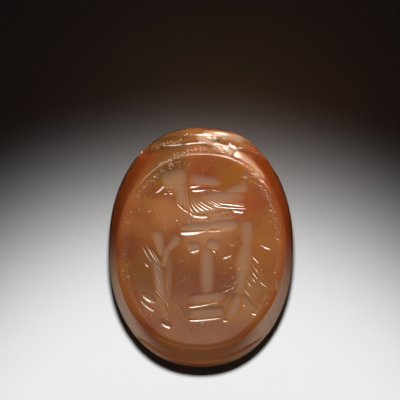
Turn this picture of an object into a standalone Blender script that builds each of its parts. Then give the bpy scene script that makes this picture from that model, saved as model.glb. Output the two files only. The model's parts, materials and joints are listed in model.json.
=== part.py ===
"""Pierced stamp seal cut from one red-brown chalcedony pebble.

The stone lies on its back with the engraved face up. X runs across the seal,
Y runs up the picture and Z points out of the face. The origin is the centre
of the small flat spot that it rests on.
"""
import math

import bmesh
import bpy
from mathutils import Matrix, Vector

# Driving dimensions, in metres
SEAL_HEIGHT = 0.0200
SEAL_WIDTH = 0.0153
FACE_HEIGHT = 0.0160
FACE_WIDTH = 0.0137
FACE_CROWN = 0.00035
RIM_ROUND = 0.00030
BACK_OVERRUN = 0.000545
REST_LENGTH = 0.0052
HOLE_DIAMETER = 0.0040
HOLE_FLARE = 0.0005
HOLE_DROP = 0.0012
GROOVE_REACH = 0.0061
UPPER_GROOVE_RADIUS = 0.00085
UPPER_GROOVE_DEPTH = 0.00040
UPPER_GROOVE_DROP = 0.00140
UPPER_GROOVE_ARCH = 0.00157
LOWER_GROOVE_RADIUS = 0.00080
LOWER_GROOVE_DEPTH = 0.00030
LOWER_GROOVE_DROP = 0.00253
LOWER_GROOVE_ARCH = 0.00285
BAND_REACH = 0.0044
BAND_RADIUS = 0.00120
BAND_STAND = 0.00020
BAND_DROP = 0.00325
BAND_ARCH = 0.00115
DENT_RADIUS = 0.00200
DENT_DEPTH = 0.00030
DENT_LENGTH = 0.0060
MOTIF_HEIGHT = 0.0132
DEEP_CUT = 0.00034
BROAD_CUT = 0.00025
MIDDLE_CUT = 0.00018
FINE_CUT = 0.00014

# Angles and shape numbers
FACE_TILT = math.radians(5.0)
DENT_ANGLE = math.radians(41.0)
CREASE_ANGLE = math.radians(24.0)
OUTLINE_POWER = 2.17
WIDEST_SHARE = 0.13
SIDE_SWELL = 2.1
TOOL_LIFT = 0.25
GROOVE_RUN_OUT = 0.6
UPPER_GROOVE_BEND = 1.7
UPPER_GROOVE_FOLLOW = 0.4
LOWER_GROOVE_BEND = 2.0
LOWER_GROOVE_FOLLOW = 0.0
BAND_RUN_OUT = 4.0
BAND_BEND = 3.2
POINTED = 2.0
BLUNT = 5.0

# Mesh fineness
SEGMENTS = 64
WALL_RINGS = 17
FACE_RINGS = 4
GROOVE_SIDES = 16
GROOVE_STEPS = 24
BAND_SIDES = 20
BAND_STEPS = 18
DENT_SIDES = 24
HOLE_SIDES = 24
STROKE_SIDES = 8
STROKE_RINGS = 7

# Sizes worked out from the ones above
HOOP_RADIUS = SEAL_HEIGHT / 2.0
FLAT_SAG = HOOP_RADIUS - math.sqrt(HOOP_RADIUS ** 2 - (REST_LENGTH / 2.0) ** 2)
HOOP_LEVEL = HOOP_RADIUS - FLAT_SAG
RIM_LEVEL = math.sqrt(HOOP_RADIUS ** 2 - (FACE_HEIGHT / 2.0) ** 2)
WIDEST_LEVEL = WIDEST_SHARE * HOOP_RADIUS
BACK_DEPTH = HOOP_LEVEL + BACK_OVERRUN
UNIT = MOTIF_HEIGHT / 100.0


def half_height(level):
    """Half the stone's height at a level measured from the hoop's centre."""
    return math.sqrt(max(HOOP_RADIUS ** 2 - level ** 2, 0.0))


def half_width(level):
    """Half the stone's width at a level measured from the hoop's centre."""
    if level < WIDEST_LEVEL:
        share = (WIDEST_LEVEL - level) / (BACK_DEPTH + WIDEST_LEVEL)
        return SEAL_WIDTH / 2.0 * math.sqrt(max(1.0 - share ** 2, 0.0))
    narrowing = (SEAL_WIDTH - FACE_WIDTH) / 2.0
    share = (level - WIDEST_LEVEL) / (RIM_LEVEL - WIDEST_LEVEL)
    return SEAL_WIDTH / 2.0 - narrowing * share ** SIDE_SWELL


def turn_at(level):
    """How far a section is turned: the face leans a little to the right."""
    share = min(max(level / RIM_LEVEL, 0.0), 1.0)
    return -FACE_TILT * share * share * (3.0 - 2.0 * share)


def outline(angle, wide, high):
    """A point of the seal's oval section, which is a little squarer than an ellipse."""
    cosine = math.cos(angle)
    sine = math.sin(angle)
    power = 2.0 / OUTLINE_POWER
    x = math.copysign(wide * abs(cosine) ** power, cosine)
    y = math.copysign(high * abs(sine) ** power, sine)
    return x, y


def face_level(x, y):
    """Height of the domed face over the origin."""
    across = 2.0 * x / FACE_WIDTH
    along = 2.0 * y / FACE_HEIGHT
    rise = max(1.0 - across ** 2 - along ** 2, 0.0)
    return HOOP_LEVEL + RIM_LEVEL + FACE_CROWN * rise


def stations():
    """Sections from the face's middle, over the rim and down to the flat spot."""
    rows = []
    for ring in range(1, FACE_RINGS + 1):
        share = ring / FACE_RINGS
        inset = RIM_ROUND if ring == FACE_RINGS else 0.0
        wide = FACE_WIDTH / 2.0 * share - inset
        high = FACE_HEIGHT / 2.0 * share - inset
        rows.append((wide, high, RIM_LEVEL + FACE_CROWN * (1.0 - share ** 2)))
    top = RIM_LEVEL - RIM_ROUND
    bottom = -HOOP_LEVEL
    for ring in range(WALL_RINGS + 1):
        swing = math.acos(top / HOOP_RADIUS)
        swing += (math.acos(bottom / HOOP_RADIUS) - swing) * ring / WALL_RINGS
        level = HOOP_RADIUS * math.cos(swing)
        rows.append((half_width(level), half_height(level), level))
    return rows


def new_object(name, mesh_builder, collection):
    """Make a mesh object from a bmesh and put it in a collection."""
    mesh = bpy.data.meshes.new(name)
    mesh_builder.to_mesh(mesh)
    mesh_builder.free()
    item = bpy.data.objects.new(name, mesh)
    collection.objects.link(item)
    return item


def make_blank(collection):
    """The uncut stone: a ball whose rings are laid on the seal's sections."""
    rows = stations()
    shape = bmesh.new()
    bmesh.ops.create_uvsphere(
        shape, u_segments=SEGMENTS, v_segments=len(rows) + 1, radius=1.0)
    for vertex in shape.verts:
        polar = math.acos(max(-1.0, min(1.0, vertex.co.z)))
        ring = round(polar / math.pi * (len(rows) + 1)) - 1
        if ring < 0:
            vertex.co = Vector((0.0, 0.0, face_level(0.0, 0.0)))
            continue
        if ring == len(rows):
            vertex.co = Vector((0.0, 0.0, 0.0))
            continue
        wide, high, level = rows[ring]
        angle = math.atan2(vertex.co.y, vertex.co.x)
        x, y = outline(angle, wide, high)
        turned = Matrix.Rotation(turn_at(level), 2) @ Vector((x, y))
        vertex.co = Vector((turned.x, turned.y, HOOP_LEVEL + level))
    bmesh.ops.recalc_face_normals(shape, faces=shape.faces)
    return new_object("seal", shape, collection)


def wall_point(x, y):
    """Where the stone's upper wall passes under a place seen from over the face."""
    low = WIDEST_LEVEL
    high = RIM_LEVEL
    for _ in range(40):
        level = (low + high) / 2.0
        across = abs(x) / half_width(level)
        along = abs(y) / half_height(level)
        if across ** OUTLINE_POWER + along ** OUTLINE_POWER > 1.0:
            high = level
        else:
            low = level
    return Vector((x, y, level))


def arch_point(share, side, drop, reach, arch, bend):
    """A point of an arch over one end of the face, a share of the way to its foot."""
    crown = half_height(RIM_LEVEL - drop)
    return wall_point(share * reach, side * (crown - arch * abs(share) ** bend))


def shoulder_tube(name, radius, sides, points, collection):
    """A closed round bar through points measured from the hoop's centre."""
    curve = bpy.data.curves.new(name, "CURVE")
    curve.dimensions = "3D"
    curve.bevel_depth = radius
    curve.bevel_resolution = sides // 2 - 2
    curve.use_fill_caps = True
    spline = curve.splines.new("POLY")
    spline.points.add(len(points) - 1)
    for knot, point in zip(spline.points, points):
        knot.co = (point.x, point.y, point.z + HOOP_LEVEL, 1.0)
    item = bpy.data.objects.new(name, curve)
    collection.objects.link(item)
    return curve_to_mesh(item, collection)


def shoulder_groove(name, side, radius, depth, drop, arch, bend, follow, collection):
    """A round tool drawn in an arch across one shoulder, shallower at both ends."""
    points = []
    turn = Matrix.Rotation(-FACE_TILT * follow, 3, "Z")
    for step in range(GROOVE_STEPS + 1):
        share = 2.0 * step / GROOVE_STEPS - 1.0
        point = arch_point(share, side, drop, GROOVE_REACH, arch, bend)
        lift = radius - depth * (1.0 - GROOVE_RUN_OUT * share ** 4)
        points.append(turn @ (point + point.normalized() * lift))
    return shoulder_tube(name, radius, GROOVE_SIDES, points, collection)


def shoulder_band(name, collection):
    """The rounded band behind the upper groove, which sinks in at both ends."""
    points = []
    for step in range(BAND_STEPS + 1):
        share = 2.0 * step / BAND_STEPS - 1.0
        point = arch_point(share, 1.0, BAND_DROP, BAND_REACH, BAND_ARCH, BAND_BEND)
        stand = BAND_STAND * (1.0 - BAND_RUN_OUT * share ** 4) - BAND_RADIUS
        turn = Matrix.Rotation(turn_at(point.z), 3, "Z")
        points.append(turn @ (point + point.normalized() * stand))
    return shoulder_tube(name, BAND_RADIUS, BAND_SIDES, points, collection)


def side_dent(collection):
    """A long worn dent in the upper right side, under the end of the upper groove."""
    wide = half_width(WIDEST_LEVEL)
    high = half_height(WIDEST_LEVEL)
    x, y = outline(DENT_ANGLE, wide, high)
    flatness = 2.0 - 2.0 / OUTLINE_POWER
    outward = Vector((
        math.cos(DENT_ANGLE) ** flatness / wide,
        math.sin(DENT_ANGLE) ** flatness / high)).normalized()
    centre = Vector((x, y)) + outward * (DENT_RADIUS - DENT_DEPTH)
    shape = bmesh.new()
    bmesh.ops.create_uvsphere(
        shape, u_segments=DENT_SIDES, v_segments=DENT_SIDES // 2, radius=1.0)
    bmesh.ops.scale(
        shape, verts=shape.verts, vec=(DENT_RADIUS, DENT_RADIUS, DENT_LENGTH / 2.0))
    bmesh.ops.translate(
        shape, verts=shape.verts, vec=(centre.x, centre.y, HOOP_LEVEL + WIDEST_LEVEL))
    return new_object("side_dent", shape, collection)


def curve_to_mesh(item, collection):
    """Turn a curve into a closed mesh that a Boolean can use."""
    graph = bpy.context.evaluated_depsgraph_get()
    mesh = bpy.data.meshes.new_from_object(item.evaluated_get(graph))
    shape = bmesh.new()
    shape.from_mesh(mesh)
    bmesh.ops.remove_doubles(shape, verts=shape.verts, dist=1.0e-6)
    bmesh.ops.recalc_face_normals(shape, faces=shape.faces)
    name = item.name
    bpy.data.objects.remove(item)
    bpy.data.meshes.remove(mesh)
    return new_object(name, shape, collection)


def hole_cutter(collection):
    """The string hole, drilled across from both sides and flared at its mouths."""
    shape = bmesh.new()
    half_step = Matrix.Rotation(math.pi / HOLE_SIDES, 4, "Z")
    across = Matrix.Rotation(math.pi / 2.0, 4, "Y") @ half_step
    bmesh.ops.create_cone(
        shape, cap_ends=True, segments=HOLE_SIDES, radius1=1.0, radius2=1.0,
        depth=1.0, matrix=across)
    middle = [edge for edge in shape.edges
              if abs(edge.verts[0].co.x - edge.verts[1].co.x) > 0.5]
    bmesh.ops.subdivide_edges(shape, edges=middle, cuts=3)
    narrow = HOLE_DIAMETER / 2.0
    half_run = SEAL_WIDTH / 2.0
    for vertex in shape.verts:
        share = 2.0 * abs(vertex.co.x)
        side = math.copysign(1.0, vertex.co.x)
        if share > 0.9:
            x, radius = half_run + HOLE_FLARE, narrow + 1.5 * HOLE_FLARE
        elif share > 0.25:
            x, radius = half_run - 1.5 * HOLE_FLARE, narrow
        else:
            x, radius = 0.0, narrow * 0.9
        ring = Vector((0.0, vertex.co.y, vertex.co.z)).normalized() * radius
        vertex.co = Vector((side * x, ring.y, ring.z))
    bmesh.ops.translate(
        shape, verts=shape.verts, vec=(0.0, 0.0, HOOP_LEVEL - HOLE_DROP))
    bmesh.ops.recalc_face_normals(shape, faces=shape.faces)
    return new_object("string_hole", shape, collection)


class Engraver:
    """Places the wheel cuts of the picture, in hundredths of its height."""

    def __init__(self, collection):
        self.collection = collection
        self.count = 0

    def stroke(self, start, end, width, depth, tail=None, form=POINTED):
        """One boat-shaped cut from start to end, tapered if a tail width is given."""
        first = Vector(start) * UNIT
        last = Vector(end) * UNIT
        end_width = width if tail is None else tail
        middle = (first + last) / 2.0
        run = last - first
        shape = bmesh.new()
        bmesh.ops.create_uvsphere(
            shape, u_segments=STROKE_SIDES, v_segments=STROKE_RINGS, radius=1.0)
        for vertex in shape.verts:
            along = vertex.co.z
            share = (along + 1.0) / 2.0
            half = (width * (1.0 - share) + end_width * share) * UNIT / 2.0
            ring = math.sqrt(max(1.0 - along ** 2, 0.0))
            fullness = math.sqrt(max(1.0 - abs(along) ** form, 0.0))
            girth = fullness / ring if ring > 0.001 else 0.0
            vertex.co = Vector((
                vertex.co.x * half * girth,
                along * run.length / 2.0,
                vertex.co.y * depth * (1.0 + TOOL_LIFT) * girth + depth * TOOL_LIFT))
        heading = math.atan2(run.y, run.x) - math.pi / 2.0
        lean = Vector((0.0, 0.0, 1.0)).rotation_difference(face_normal(middle))
        place = Matrix.Translation((middle.x, middle.y, face_level(middle.x, middle.y)))
        turn = lean.to_matrix().to_4x4() @ Matrix.Rotation(heading, 4, "Z")
        bmesh.ops.transform(shape, matrix=place @ turn, verts=shape.verts)
        bmesh.ops.recalc_face_normals(shape, faces=shape.faces)
        self.count += 1
        return new_object("cut_%03d" % self.count, shape, self.collection)

    def fan(self, first, last, count, width, depth, tail=None):
        """A row of strokes that pass evenly from the first to the last."""
        for index in range(count):
            share = index / max(count - 1, 1)
            start = mix(first[0], last[0], share)
            end = mix(first[1], last[1], share)
            self.stroke(start, end, width, depth, tail)


def face_normal(point):
    """Which way the domed face points at a place on it."""
    across = 8.0 * FACE_CROWN * point.x / FACE_WIDTH ** 2
    along = 8.0 * FACE_CROWN * point.y / FACE_HEIGHT ** 2
    return Vector((across, along, 1.0)).normalized()


def mix(first, last, share):
    """The point that lies a share of the way between two others."""
    return tuple(a + (b - a) * share for a, b in zip(first, last))


def cut_bird(tool):
    """A bird that faces left, with a lifted wing and a broad tail."""
    tool.stroke((-26.0, 46.0), (-8.5, 45.5), 8.5, BROAD_CUT, 9.5, BLUNT)
    tool.stroke((-29.5, 35.5), (-21.0, 42.5), 2.6, FINE_CUT, 3.6)
    tool.stroke((-24.0, 35.5), (-16.0, 36.5), 3.0, FINE_CUT)
    tool.fan(((-17.0, 42.5), (-14.6, 28.0)), ((-9.0, 39.5), (-6.0, 24.0)), 4,
             3.2, MIDDLE_CUT, 2.8)
    tool.stroke((-15.0, 29.0), (-5.5, 22.5), 2.8, MIDDLE_CUT)
    tool.stroke((-6.0, 22.2), (5.0, 21.2), 4.0, BROAD_CUT, 3.0, BLUNT)
    tool.fan(((-7.5, 30.5), (0.0, 22.8)), ((4.5, 31.5), (14.0, 26.5)), 5,
             3.6, MIDDLE_CUT, 3.0)
    tool.stroke((-8.5, 43.0), (16.0, 40.0), 8.5, BROAD_CUT, 5.0, BLUNT)
    tool.stroke((-6.5, 38.6), (4.0, 38.2), 3.4, BROAD_CUT)
    tool.stroke((1.0, 34.5), (29.5, 33.0), 4.5, MIDDLE_CUT, 7.0, BLUNT)
    tool.stroke((14.5, 36.8), (30.0, 39.5), 3.5, MIDDLE_CUT, 8.0, BLUNT)
    tool.stroke((9.0, 28.0), (29.5, 27.5), 3.4, MIDDLE_CUT)
    tool.stroke((16.0, 24.5), (27.0, 23.6), 3.6, BROAD_CUT)
    tool.fan(((7.5, 24.0), (9.5, 21.5)), ((14.0, 25.5), (16.0, 23.0)), 3,
             1.6, FINE_CUT)
    tool.stroke((-6.8, 22.0), (-6.8, 16.5), 2.4, FINE_CUT)
    tool.stroke((4.0, 21.5), (5.2, 16.5), 2.4, FINE_CUT)


def cut_altar(tool):
    """The stand under the bird: a slab, a neck, a column and two steps."""
    tool.stroke((-15.5, 11.0), (18.5, 13.5), 8.6, DEEP_CUT, 5.4, BLUNT)
    tool.stroke((-9.2, 0.6), (0.0, 1.8), 6.8, DEEP_CUT, 6.0, BLUNT)
    tool.stroke((3.5, 5.0), (11.5, 0.5), 7.5, BROAD_CUT, 4.5, BLUNT)
    tool.stroke((2.8, 3.0), (2.5, -29.0), 8.2, BROAD_CUT, 8.8, BLUNT)
    tool.stroke((-9.8, -33.2), (16.5, -28.4), 7.0, DEEP_CUT, 5.6, BLUNT)
    tool.stroke((-10.2, -40.4), (14.5, -37.8), 7.6, DEEP_CUT, 6.6, BLUNT)
    tool.stroke((-14.2, -32.5), (-9.4, -43.0), 2.6, FINE_CUT)


def cut_left_branch(tool):
    """The branch on the left, with leaves that point up on both sides."""
    tool.stroke((-27.0, 14.0), (-23.5, -3.0), 9.5, BROAD_CUT, 4.0, BLUNT)
    tool.stroke((-12.5, 9.0), (-20.8, -3.0), 6.0, BROAD_CUT, 4.0, BLUNT)
    tool.stroke((-38.0, 4.5), (-28.5, -8.0), 3.2, FINE_CUT)
    tool.fan(((-31.0, -1.0), (-22.5, -12.0)), ((-29.5, -24.0), (-19.0, -38.0)), 6,
             3.2, MIDDLE_CUT, 2.8)
    tool.stroke((-28.5, -28.0), (-18.0, -46.5), 3.6, BROAD_CUT)
    tool.fan(((-17.5, -3.0), (-22.8, -14.0)), ((-15.5, -28.0), (-19.5, -42.0)), 5,
             2.6, FINE_CUT, 3.2)
    tool.stroke((-23.5, -3.0), (-19.0, -46.0), 3.0, MIDDLE_CUT, 2.8)
    tool.stroke((-36.8, -27.5), (-28.8, -32.6), 3.8, MIDDLE_CUT)
    tool.stroke((-38.0, -32.0), (-28.0, -37.5), 3.6, MIDDLE_CUT)
    tool.stroke((-21.8, -43.0), (-18.6, -48.8), 4.0, BROAD_CUT, 4.6)


def cut_right_branch(tool):
    """The branch on the right, with a broad trunk and leaves that point down."""
    tool.stroke((28.5, 19.5), (27.5, -14.0), 7.0, BROAD_CUT, 15.5, BLUNT)
    tool.fan(((30.5, -1.5), (36.0, -8.0)), ((25.0, -20.5), (31.0, -29.0)), 6,
             2.6, MIDDLE_CUT)
    tool.stroke((32.0, -13.5), (42.5, -24.8), 2.6, FINE_CUT)
    tool.fan(((26.0, -8.0), (20.5, -15.0)), ((23.0, -22.0), (18.5, -28.0)), 5,
             2.6, MIDDLE_CUT)
    tool.stroke((27.0, -13.0), (23.6, -30.0), 6.0, BROAD_CUT, 4.0)
    tool.stroke((22.0, -26.5), (13.0, -43.5), 6.4, BROAD_CUT, 6.4, BLUNT)
    tool.stroke((25.0, -27.5), (31.0, -39.5), 4.0, MIDDLE_CUT, 4.6, BLUNT)
    tool.stroke((37.0, 3.4), (43.6, -0.2), 2.6, FINE_CUT)
    tool.stroke((13.2, -5.2), (19.8, -3.0), 3.0, FINE_CUT)
    tool.stroke((11.0, -25.8), (18.5, -22.4), 3.2, FINE_CUT)
    tool.stroke((19.2, 3.0), (25.0, 13.8), 2.6, FINE_CUT)


def boolean(item, name, cutter=None, group=None, operation="DIFFERENCE"):
    """Cut one shape, or a whole collection of them, out of the stone or join one to it."""
    modifier = item.modifiers.new(name, "BOOLEAN")
    modifier.operation = operation
    modifier.solver = "EXACT"
    if group is None:
        modifier.object = cutter
    else:
        modifier.operand_type = "COLLECTION"
        modifier.collection = group


def settle(item):
    """Make the cuts part of the stone's own mesh and keep their edges crisp."""
    graph = bpy.context.evaluated_depsgraph_get()
    mesh = bpy.data.meshes.new_from_object(item.evaluated_get(graph))
    blank = item.data
    item.modifiers.clear()
    item.data = mesh
    mesh.name = item.name
    bpy.data.meshes.remove(blank)
    mesh.shade_smooth()
    mesh.set_sharp_from_angle(angle=CREASE_ANGLE)


def hide_tools(collection):
    """Keep the cutting shapes out of renders and drawn as wires."""
    for item in collection.all_objects:
        item.hide_render = True
        item.display_type = "WIRE"


def make_material():
    """Red-brown chalcedony with a wax-like polish."""
    stone = bpy.data.materials.new("polished_chalcedony")
    stone.use_nodes = True
    shader = stone.node_tree.nodes["Principled BSDF"]
    shader.inputs["Base Color"].default_value = (0.23, 0.085, 0.032, 1.0)
    shader.inputs["Roughness"].default_value = 0.16
    shader.inputs["Metallic"].default_value = 0.0
    shader.inputs["IOR"].default_value = 1.54
    return stone


def new_collection(name, parent):
    """Make a collection under another one."""
    group = bpy.data.collections.new(name)
    parent.children.link(group)
    return group


def main():
    """Build the stone, then cut its grooves, its hole and its picture."""
    for item in list(bpy.data.objects):
        bpy.data.objects.remove(item)
    scene = bpy.context.scene.collection
    gem = new_collection("intaglio_gem", scene)
    tools = new_collection("cutting_tools", scene)
    picture = new_collection("picture_cuts", tools)

    seal = make_blank(gem)
    seal.data.materials.append(make_material())
    upper = shoulder_groove(
        "upper_groove", 1.0, UPPER_GROOVE_RADIUS, UPPER_GROOVE_DEPTH, UPPER_GROOVE_DROP,
        UPPER_GROOVE_ARCH, UPPER_GROOVE_BEND, UPPER_GROOVE_FOLLOW, tools)
    lower = shoulder_groove(
        "lower_groove", -1.0, LOWER_GROOVE_RADIUS, LOWER_GROOVE_DEPTH, LOWER_GROOVE_DROP,
        LOWER_GROOVE_ARCH, LOWER_GROOVE_BEND, LOWER_GROOVE_FOLLOW, tools)
    boolean(seal, "upper band", shoulder_band("upper_band", tools), operation="UNION")
    boolean(seal, "upper groove", upper)
    boolean(seal, "lower groove", lower)
    boolean(seal, "side dent", side_dent(tools))
    boolean(seal, "string hole", hole_cutter(tools))

    tool = Engraver(picture)
    cut_bird(tool)
    cut_altar(tool)
    cut_left_branch(tool)
    cut_right_branch(tool)
    boolean(seal, "picture", group=picture)
    settle(seal)
    hide_tools(tools)


main()
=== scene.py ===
"""Looks of a pierced stamp seal of red-brown carnelian, lying face up on a pale floor.

One piece, carved_stone, stands for the plain solid. It keeps the solid's form and
adds the fine wheel cuts, the worn and ground edges and the finish of old polished
stone. X runs across the seal, Y runs up the picture and Z points out of the face.
All sizes are in metres, apart from the picture's own units and the wear's millimetres.
"""
import json
import logging
import math
import random
from dataclasses import dataclass, field, replace
from enum import Enum
from typing import Any, Iterable, Optional, Sequence

import bpy
import numpy
from mathutils import Matrix, Vector, noise
from mathutils.bvhtree import BVHTree

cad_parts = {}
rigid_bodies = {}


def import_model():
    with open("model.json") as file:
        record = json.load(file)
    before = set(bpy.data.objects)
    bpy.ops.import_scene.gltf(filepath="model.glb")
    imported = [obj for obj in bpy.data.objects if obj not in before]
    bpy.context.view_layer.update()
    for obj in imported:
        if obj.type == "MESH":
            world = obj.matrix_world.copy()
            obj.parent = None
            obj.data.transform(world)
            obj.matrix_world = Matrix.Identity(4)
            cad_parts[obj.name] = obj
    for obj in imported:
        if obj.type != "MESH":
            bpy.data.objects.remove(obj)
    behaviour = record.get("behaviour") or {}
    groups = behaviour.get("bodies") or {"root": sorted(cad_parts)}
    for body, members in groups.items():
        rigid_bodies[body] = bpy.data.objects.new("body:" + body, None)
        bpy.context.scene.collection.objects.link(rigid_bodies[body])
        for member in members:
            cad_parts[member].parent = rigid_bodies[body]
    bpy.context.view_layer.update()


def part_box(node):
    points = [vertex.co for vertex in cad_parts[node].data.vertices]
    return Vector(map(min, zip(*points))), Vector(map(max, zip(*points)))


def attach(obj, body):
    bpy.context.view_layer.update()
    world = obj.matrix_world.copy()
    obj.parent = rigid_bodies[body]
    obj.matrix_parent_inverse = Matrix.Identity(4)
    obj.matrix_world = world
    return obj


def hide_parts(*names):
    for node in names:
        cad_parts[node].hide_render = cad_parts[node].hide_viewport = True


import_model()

logging.basicConfig(level=logging.INFO, format="%(levelname)s %(message)s")
log = logging.getLogger("seal")

MM = 0.001
WELD = 0.001 * MM
UP = Vector((0.0, 0.0, 1.0))
Point2 = tuple[float, float]
Point3 = tuple[float, float, float]
Colour = tuple[float, float, float, float]


class Profile(Enum):
    """Cross-section of a cutting wheel, as the power of its rounded outline."""

    VEE = 1.0
    EDGE = 1.45
    BALL = 2.0


class Plan(Enum):
    """Outline of a cut seen from above, as the power of its fullness along the run."""

    POINTED = 2.0
    LEAF = 3.0
    BLUNT = 5.0


def linear(code: str) -> Colour:
    """Turn an sRGB hex colour into linear values.

    Args:
        code: Six hex digits, with or without a leading hash.

    Returns:
        Red, green, blue and an alpha of one.
    """
    digits = code.lstrip("#")
    values = [int(digits[place:place + 2], 16) / 255.0 for place in (0, 2, 4)]
    red, green, blue = (
        value / 12.92 if value <= 0.04045 else ((value + 0.055) / 1.055) ** 2.4
        for value in values)
    return red, green, blue, 1.0


def add_node(
        tree: bpy.types.NodeTree, kind: str, settings: Optional[dict] = None,
        sockets: Optional[dict] = None) -> bpy.types.Node:
    """Add one node with its settings and its input values or links.

    Args:
        tree: The material's or the world's node tree.
        kind: The node's type name.
        settings: Attributes of the node itself.
        sockets: Input names or numbers, each with a value or an output to link.

    Returns:
        The new node.
    """
    node = tree.nodes.new(kind)
    for name, value in (settings or {}).items():
        setattr(node, name, value)
    for name, value in (sockets or {}).items():
        if isinstance(value, bpy.types.NodeSocket):
            tree.links.new(value, node.inputs[name])
        else:
            node.inputs[name].default_value = value
    return node


def select_only(item: bpy.types.Object) -> None:
    """Make one object the only selected one, and the active one.

    Args:
        item: The object.
    """
    bpy.ops.object.select_all(action="DESELECT")
    item.select_set(True)
    bpy.context.view_layer.objects.active = item


def points_of(mesh: bpy.types.Mesh) -> numpy.ndarray:
    """Read a mesh's vertices.

    Args:
        mesh: The mesh.

    Returns:
        An array with one row for each vertex.
    """
    places = numpy.empty(len(mesh.vertices) * 3)
    mesh.vertices.foreach_get("co", places)
    return places.reshape(-1, 3)


def lay_points(mesh: bpy.types.Mesh, places: numpy.ndarray) -> None:
    """Move the mesh's vertices to the rows of an array."""
    mesh.vertices.foreach_set("co", places.ravel())
    mesh.update()


def segment_distance(place: Vector, start: Vector, end: Vector) -> float:
    """How far a place lies from a straight segment, both in the plane.

    Args:
        place: The place.
        start: One end of the segment.
        end: Its other end.

    Returns:
        The shortest distance.
    """
    run = end - start
    share = min(max((place - start).dot(run) / run.length_squared, 0.0), 1.0)
    return (place - start - run * share).length


def surface_tree(mesh: bpy.types.Mesh) -> BVHTree:
    """Build a search tree over a mesh's faces as they are now.

    Args:
        mesh: The mesh.

    Returns:
        The tree, which finds the nearest point and what a ray meets.
    """
    corners = [vertex.co.copy() for vertex in mesh.vertices]
    faces = [tuple(face.vertices) for face in mesh.polygons]
    return BVHTree.FromPolygons(corners, faces)


@dataclass(frozen=True)
class SealForm:
    """Sizes of the uncut stone and the rules that its sections follow.

    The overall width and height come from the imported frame. Levels are measured
    from the centre of the round hoop, along Z.

    Attributes:
        width: Width of the widest section.
        height: Height of the whole stone, which is the round hoop's diameter.
        face_width: Width of the engraved face.
        face_height: Height of the engraved face.
        face_crown: How far the face is domed.
        rim_round: How far the face's edge is rounded over, top to bottom.
        side_round: How far it is rounded over at the sides.
        back_overrun: How far the width would close behind the flat spot.
        rest_length: Height of the flat spot that the stone rests on.
        widest_share: Level of the widest section, as a share of the hoop's radius.
        face_tilt: How far the face leans to the right.
        outline_power: Squareness of the oval. Two gives an ellipse.
        side_swell: Power by which the sides swell below the face.
    """

    width: float
    height: float
    face_width: float = 13.7 * MM
    face_height: float = 16.0 * MM
    face_crown: float = 0.35 * MM
    rim_round: float = 0.30 * MM
    side_round: float = 0.90 * MM
    back_overrun: float = 0.545 * MM
    rest_length: float = 5.2 * MM
    widest_share: float = 0.13
    face_tilt: float = math.radians(5.0)
    outline_power: float = 2.17
    side_swell: float = 2.1

    @property
    def hoop_radius(self) -> float:
        """Radius of the round outline seen from the side."""
        return self.height / 2.0

    @property
    def hoop_level(self) -> float:
        """Height of the hoop's centre over the flat spot."""
        return math.sqrt(self.hoop_radius ** 2 - (self.rest_length / 2.0) ** 2)

    @property
    def rim_level(self) -> float:
        """Level of the face's edge."""
        return math.sqrt(self.hoop_radius ** 2 - (self.face_height / 2.0) ** 2)

    @property
    def widest_level(self) -> float:
        """Level of the widest section."""
        return self.widest_share * self.hoop_radius

    def half_height(self, level: float) -> float:
        """Half the stone's height at a level."""
        return math.sqrt(max(self.hoop_radius ** 2 - level ** 2, 0.0))

    def half_width(self, level: float) -> float:
        """Half the stone's width at a level.

        Args:
            level: Height over the hoop's centre.

        Returns:
            Half the width, which swells down to the widest level and then closes.
        """
        if level < self.widest_level:
            depth = self.hoop_level + self.back_overrun
            share = (self.widest_level - level) / (depth + self.widest_level)
            return self.width / 2.0 * math.sqrt(max(1.0 - share ** 2, 0.0))
        narrowing = (self.width - self.face_width) / 2.0
        share = (level - self.widest_level) / (self.rim_level - self.widest_level)
        return self.width / 2.0 - narrowing * share ** self.side_swell

    def turn_at(self, level: float) -> float:
        """How far a section is turned: the face leans a little to the right."""
        share = min(max(level / self.rim_level, 0.0), 1.0)
        return -self.face_tilt * share * share * (3.0 - 2.0 * share)

    def outline(self, angle: float, wide: float, high: float) -> Vector:
        """A point of the oval section, which is a little squarer than an ellipse.

        Args:
            angle: Angle round the section, from +X.
            wide: Half the section's width.
            high: Half the section's height.

        Returns:
            The point, before the section is turned.
        """
        power = 2.0 / self.outline_power
        x = math.copysign(abs(math.cos(angle)) ** power, math.cos(angle))
        y = math.copysign(abs(math.sin(angle)) ** power, math.sin(angle))
        return Vector((wide * x, high * y))

    def face_level(self, x: float, y: float) -> float:
        """Height of the domed face over the floor."""
        rise = max(1.0 - (2.0 * x / self.face_width) ** 2 - (2.0 * y / self.face_height) ** 2, 0.0)
        return self.hoop_level + self.rim_level + self.face_crown * rise

    def face_normal(self, x: float, y: float) -> Vector:
        """Which way the domed face points at a place on it.

        Args:
            x: Place across the stone.
            y: Place up the stone.

        Returns:
            The face's normal there.
        """
        across = 8.0 * self.face_crown * x / self.face_width ** 2
        along = 8.0 * self.face_crown * y / self.face_height ** 2
        return Vector((across, along, 1.0)).normalized()

    def rim_point(self, angle: float, inset: float = 0.0) -> Vector:
        """A point near the face's edge.

        Args:
            angle: Angle round the face, from +X.
            inset: Distance inside the edge.

        Returns:
            The point in the part's own frame.
        """
        flat = self.outline(angle, self.face_width / 2.0 - inset, self.face_height / 2.0 - inset)
        turned = Matrix.Rotation(self.turn_at(self.rim_level), 2) @ flat
        return Vector((turned.x, turned.y, self.face_level(flat.x, flat.y)))


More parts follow.
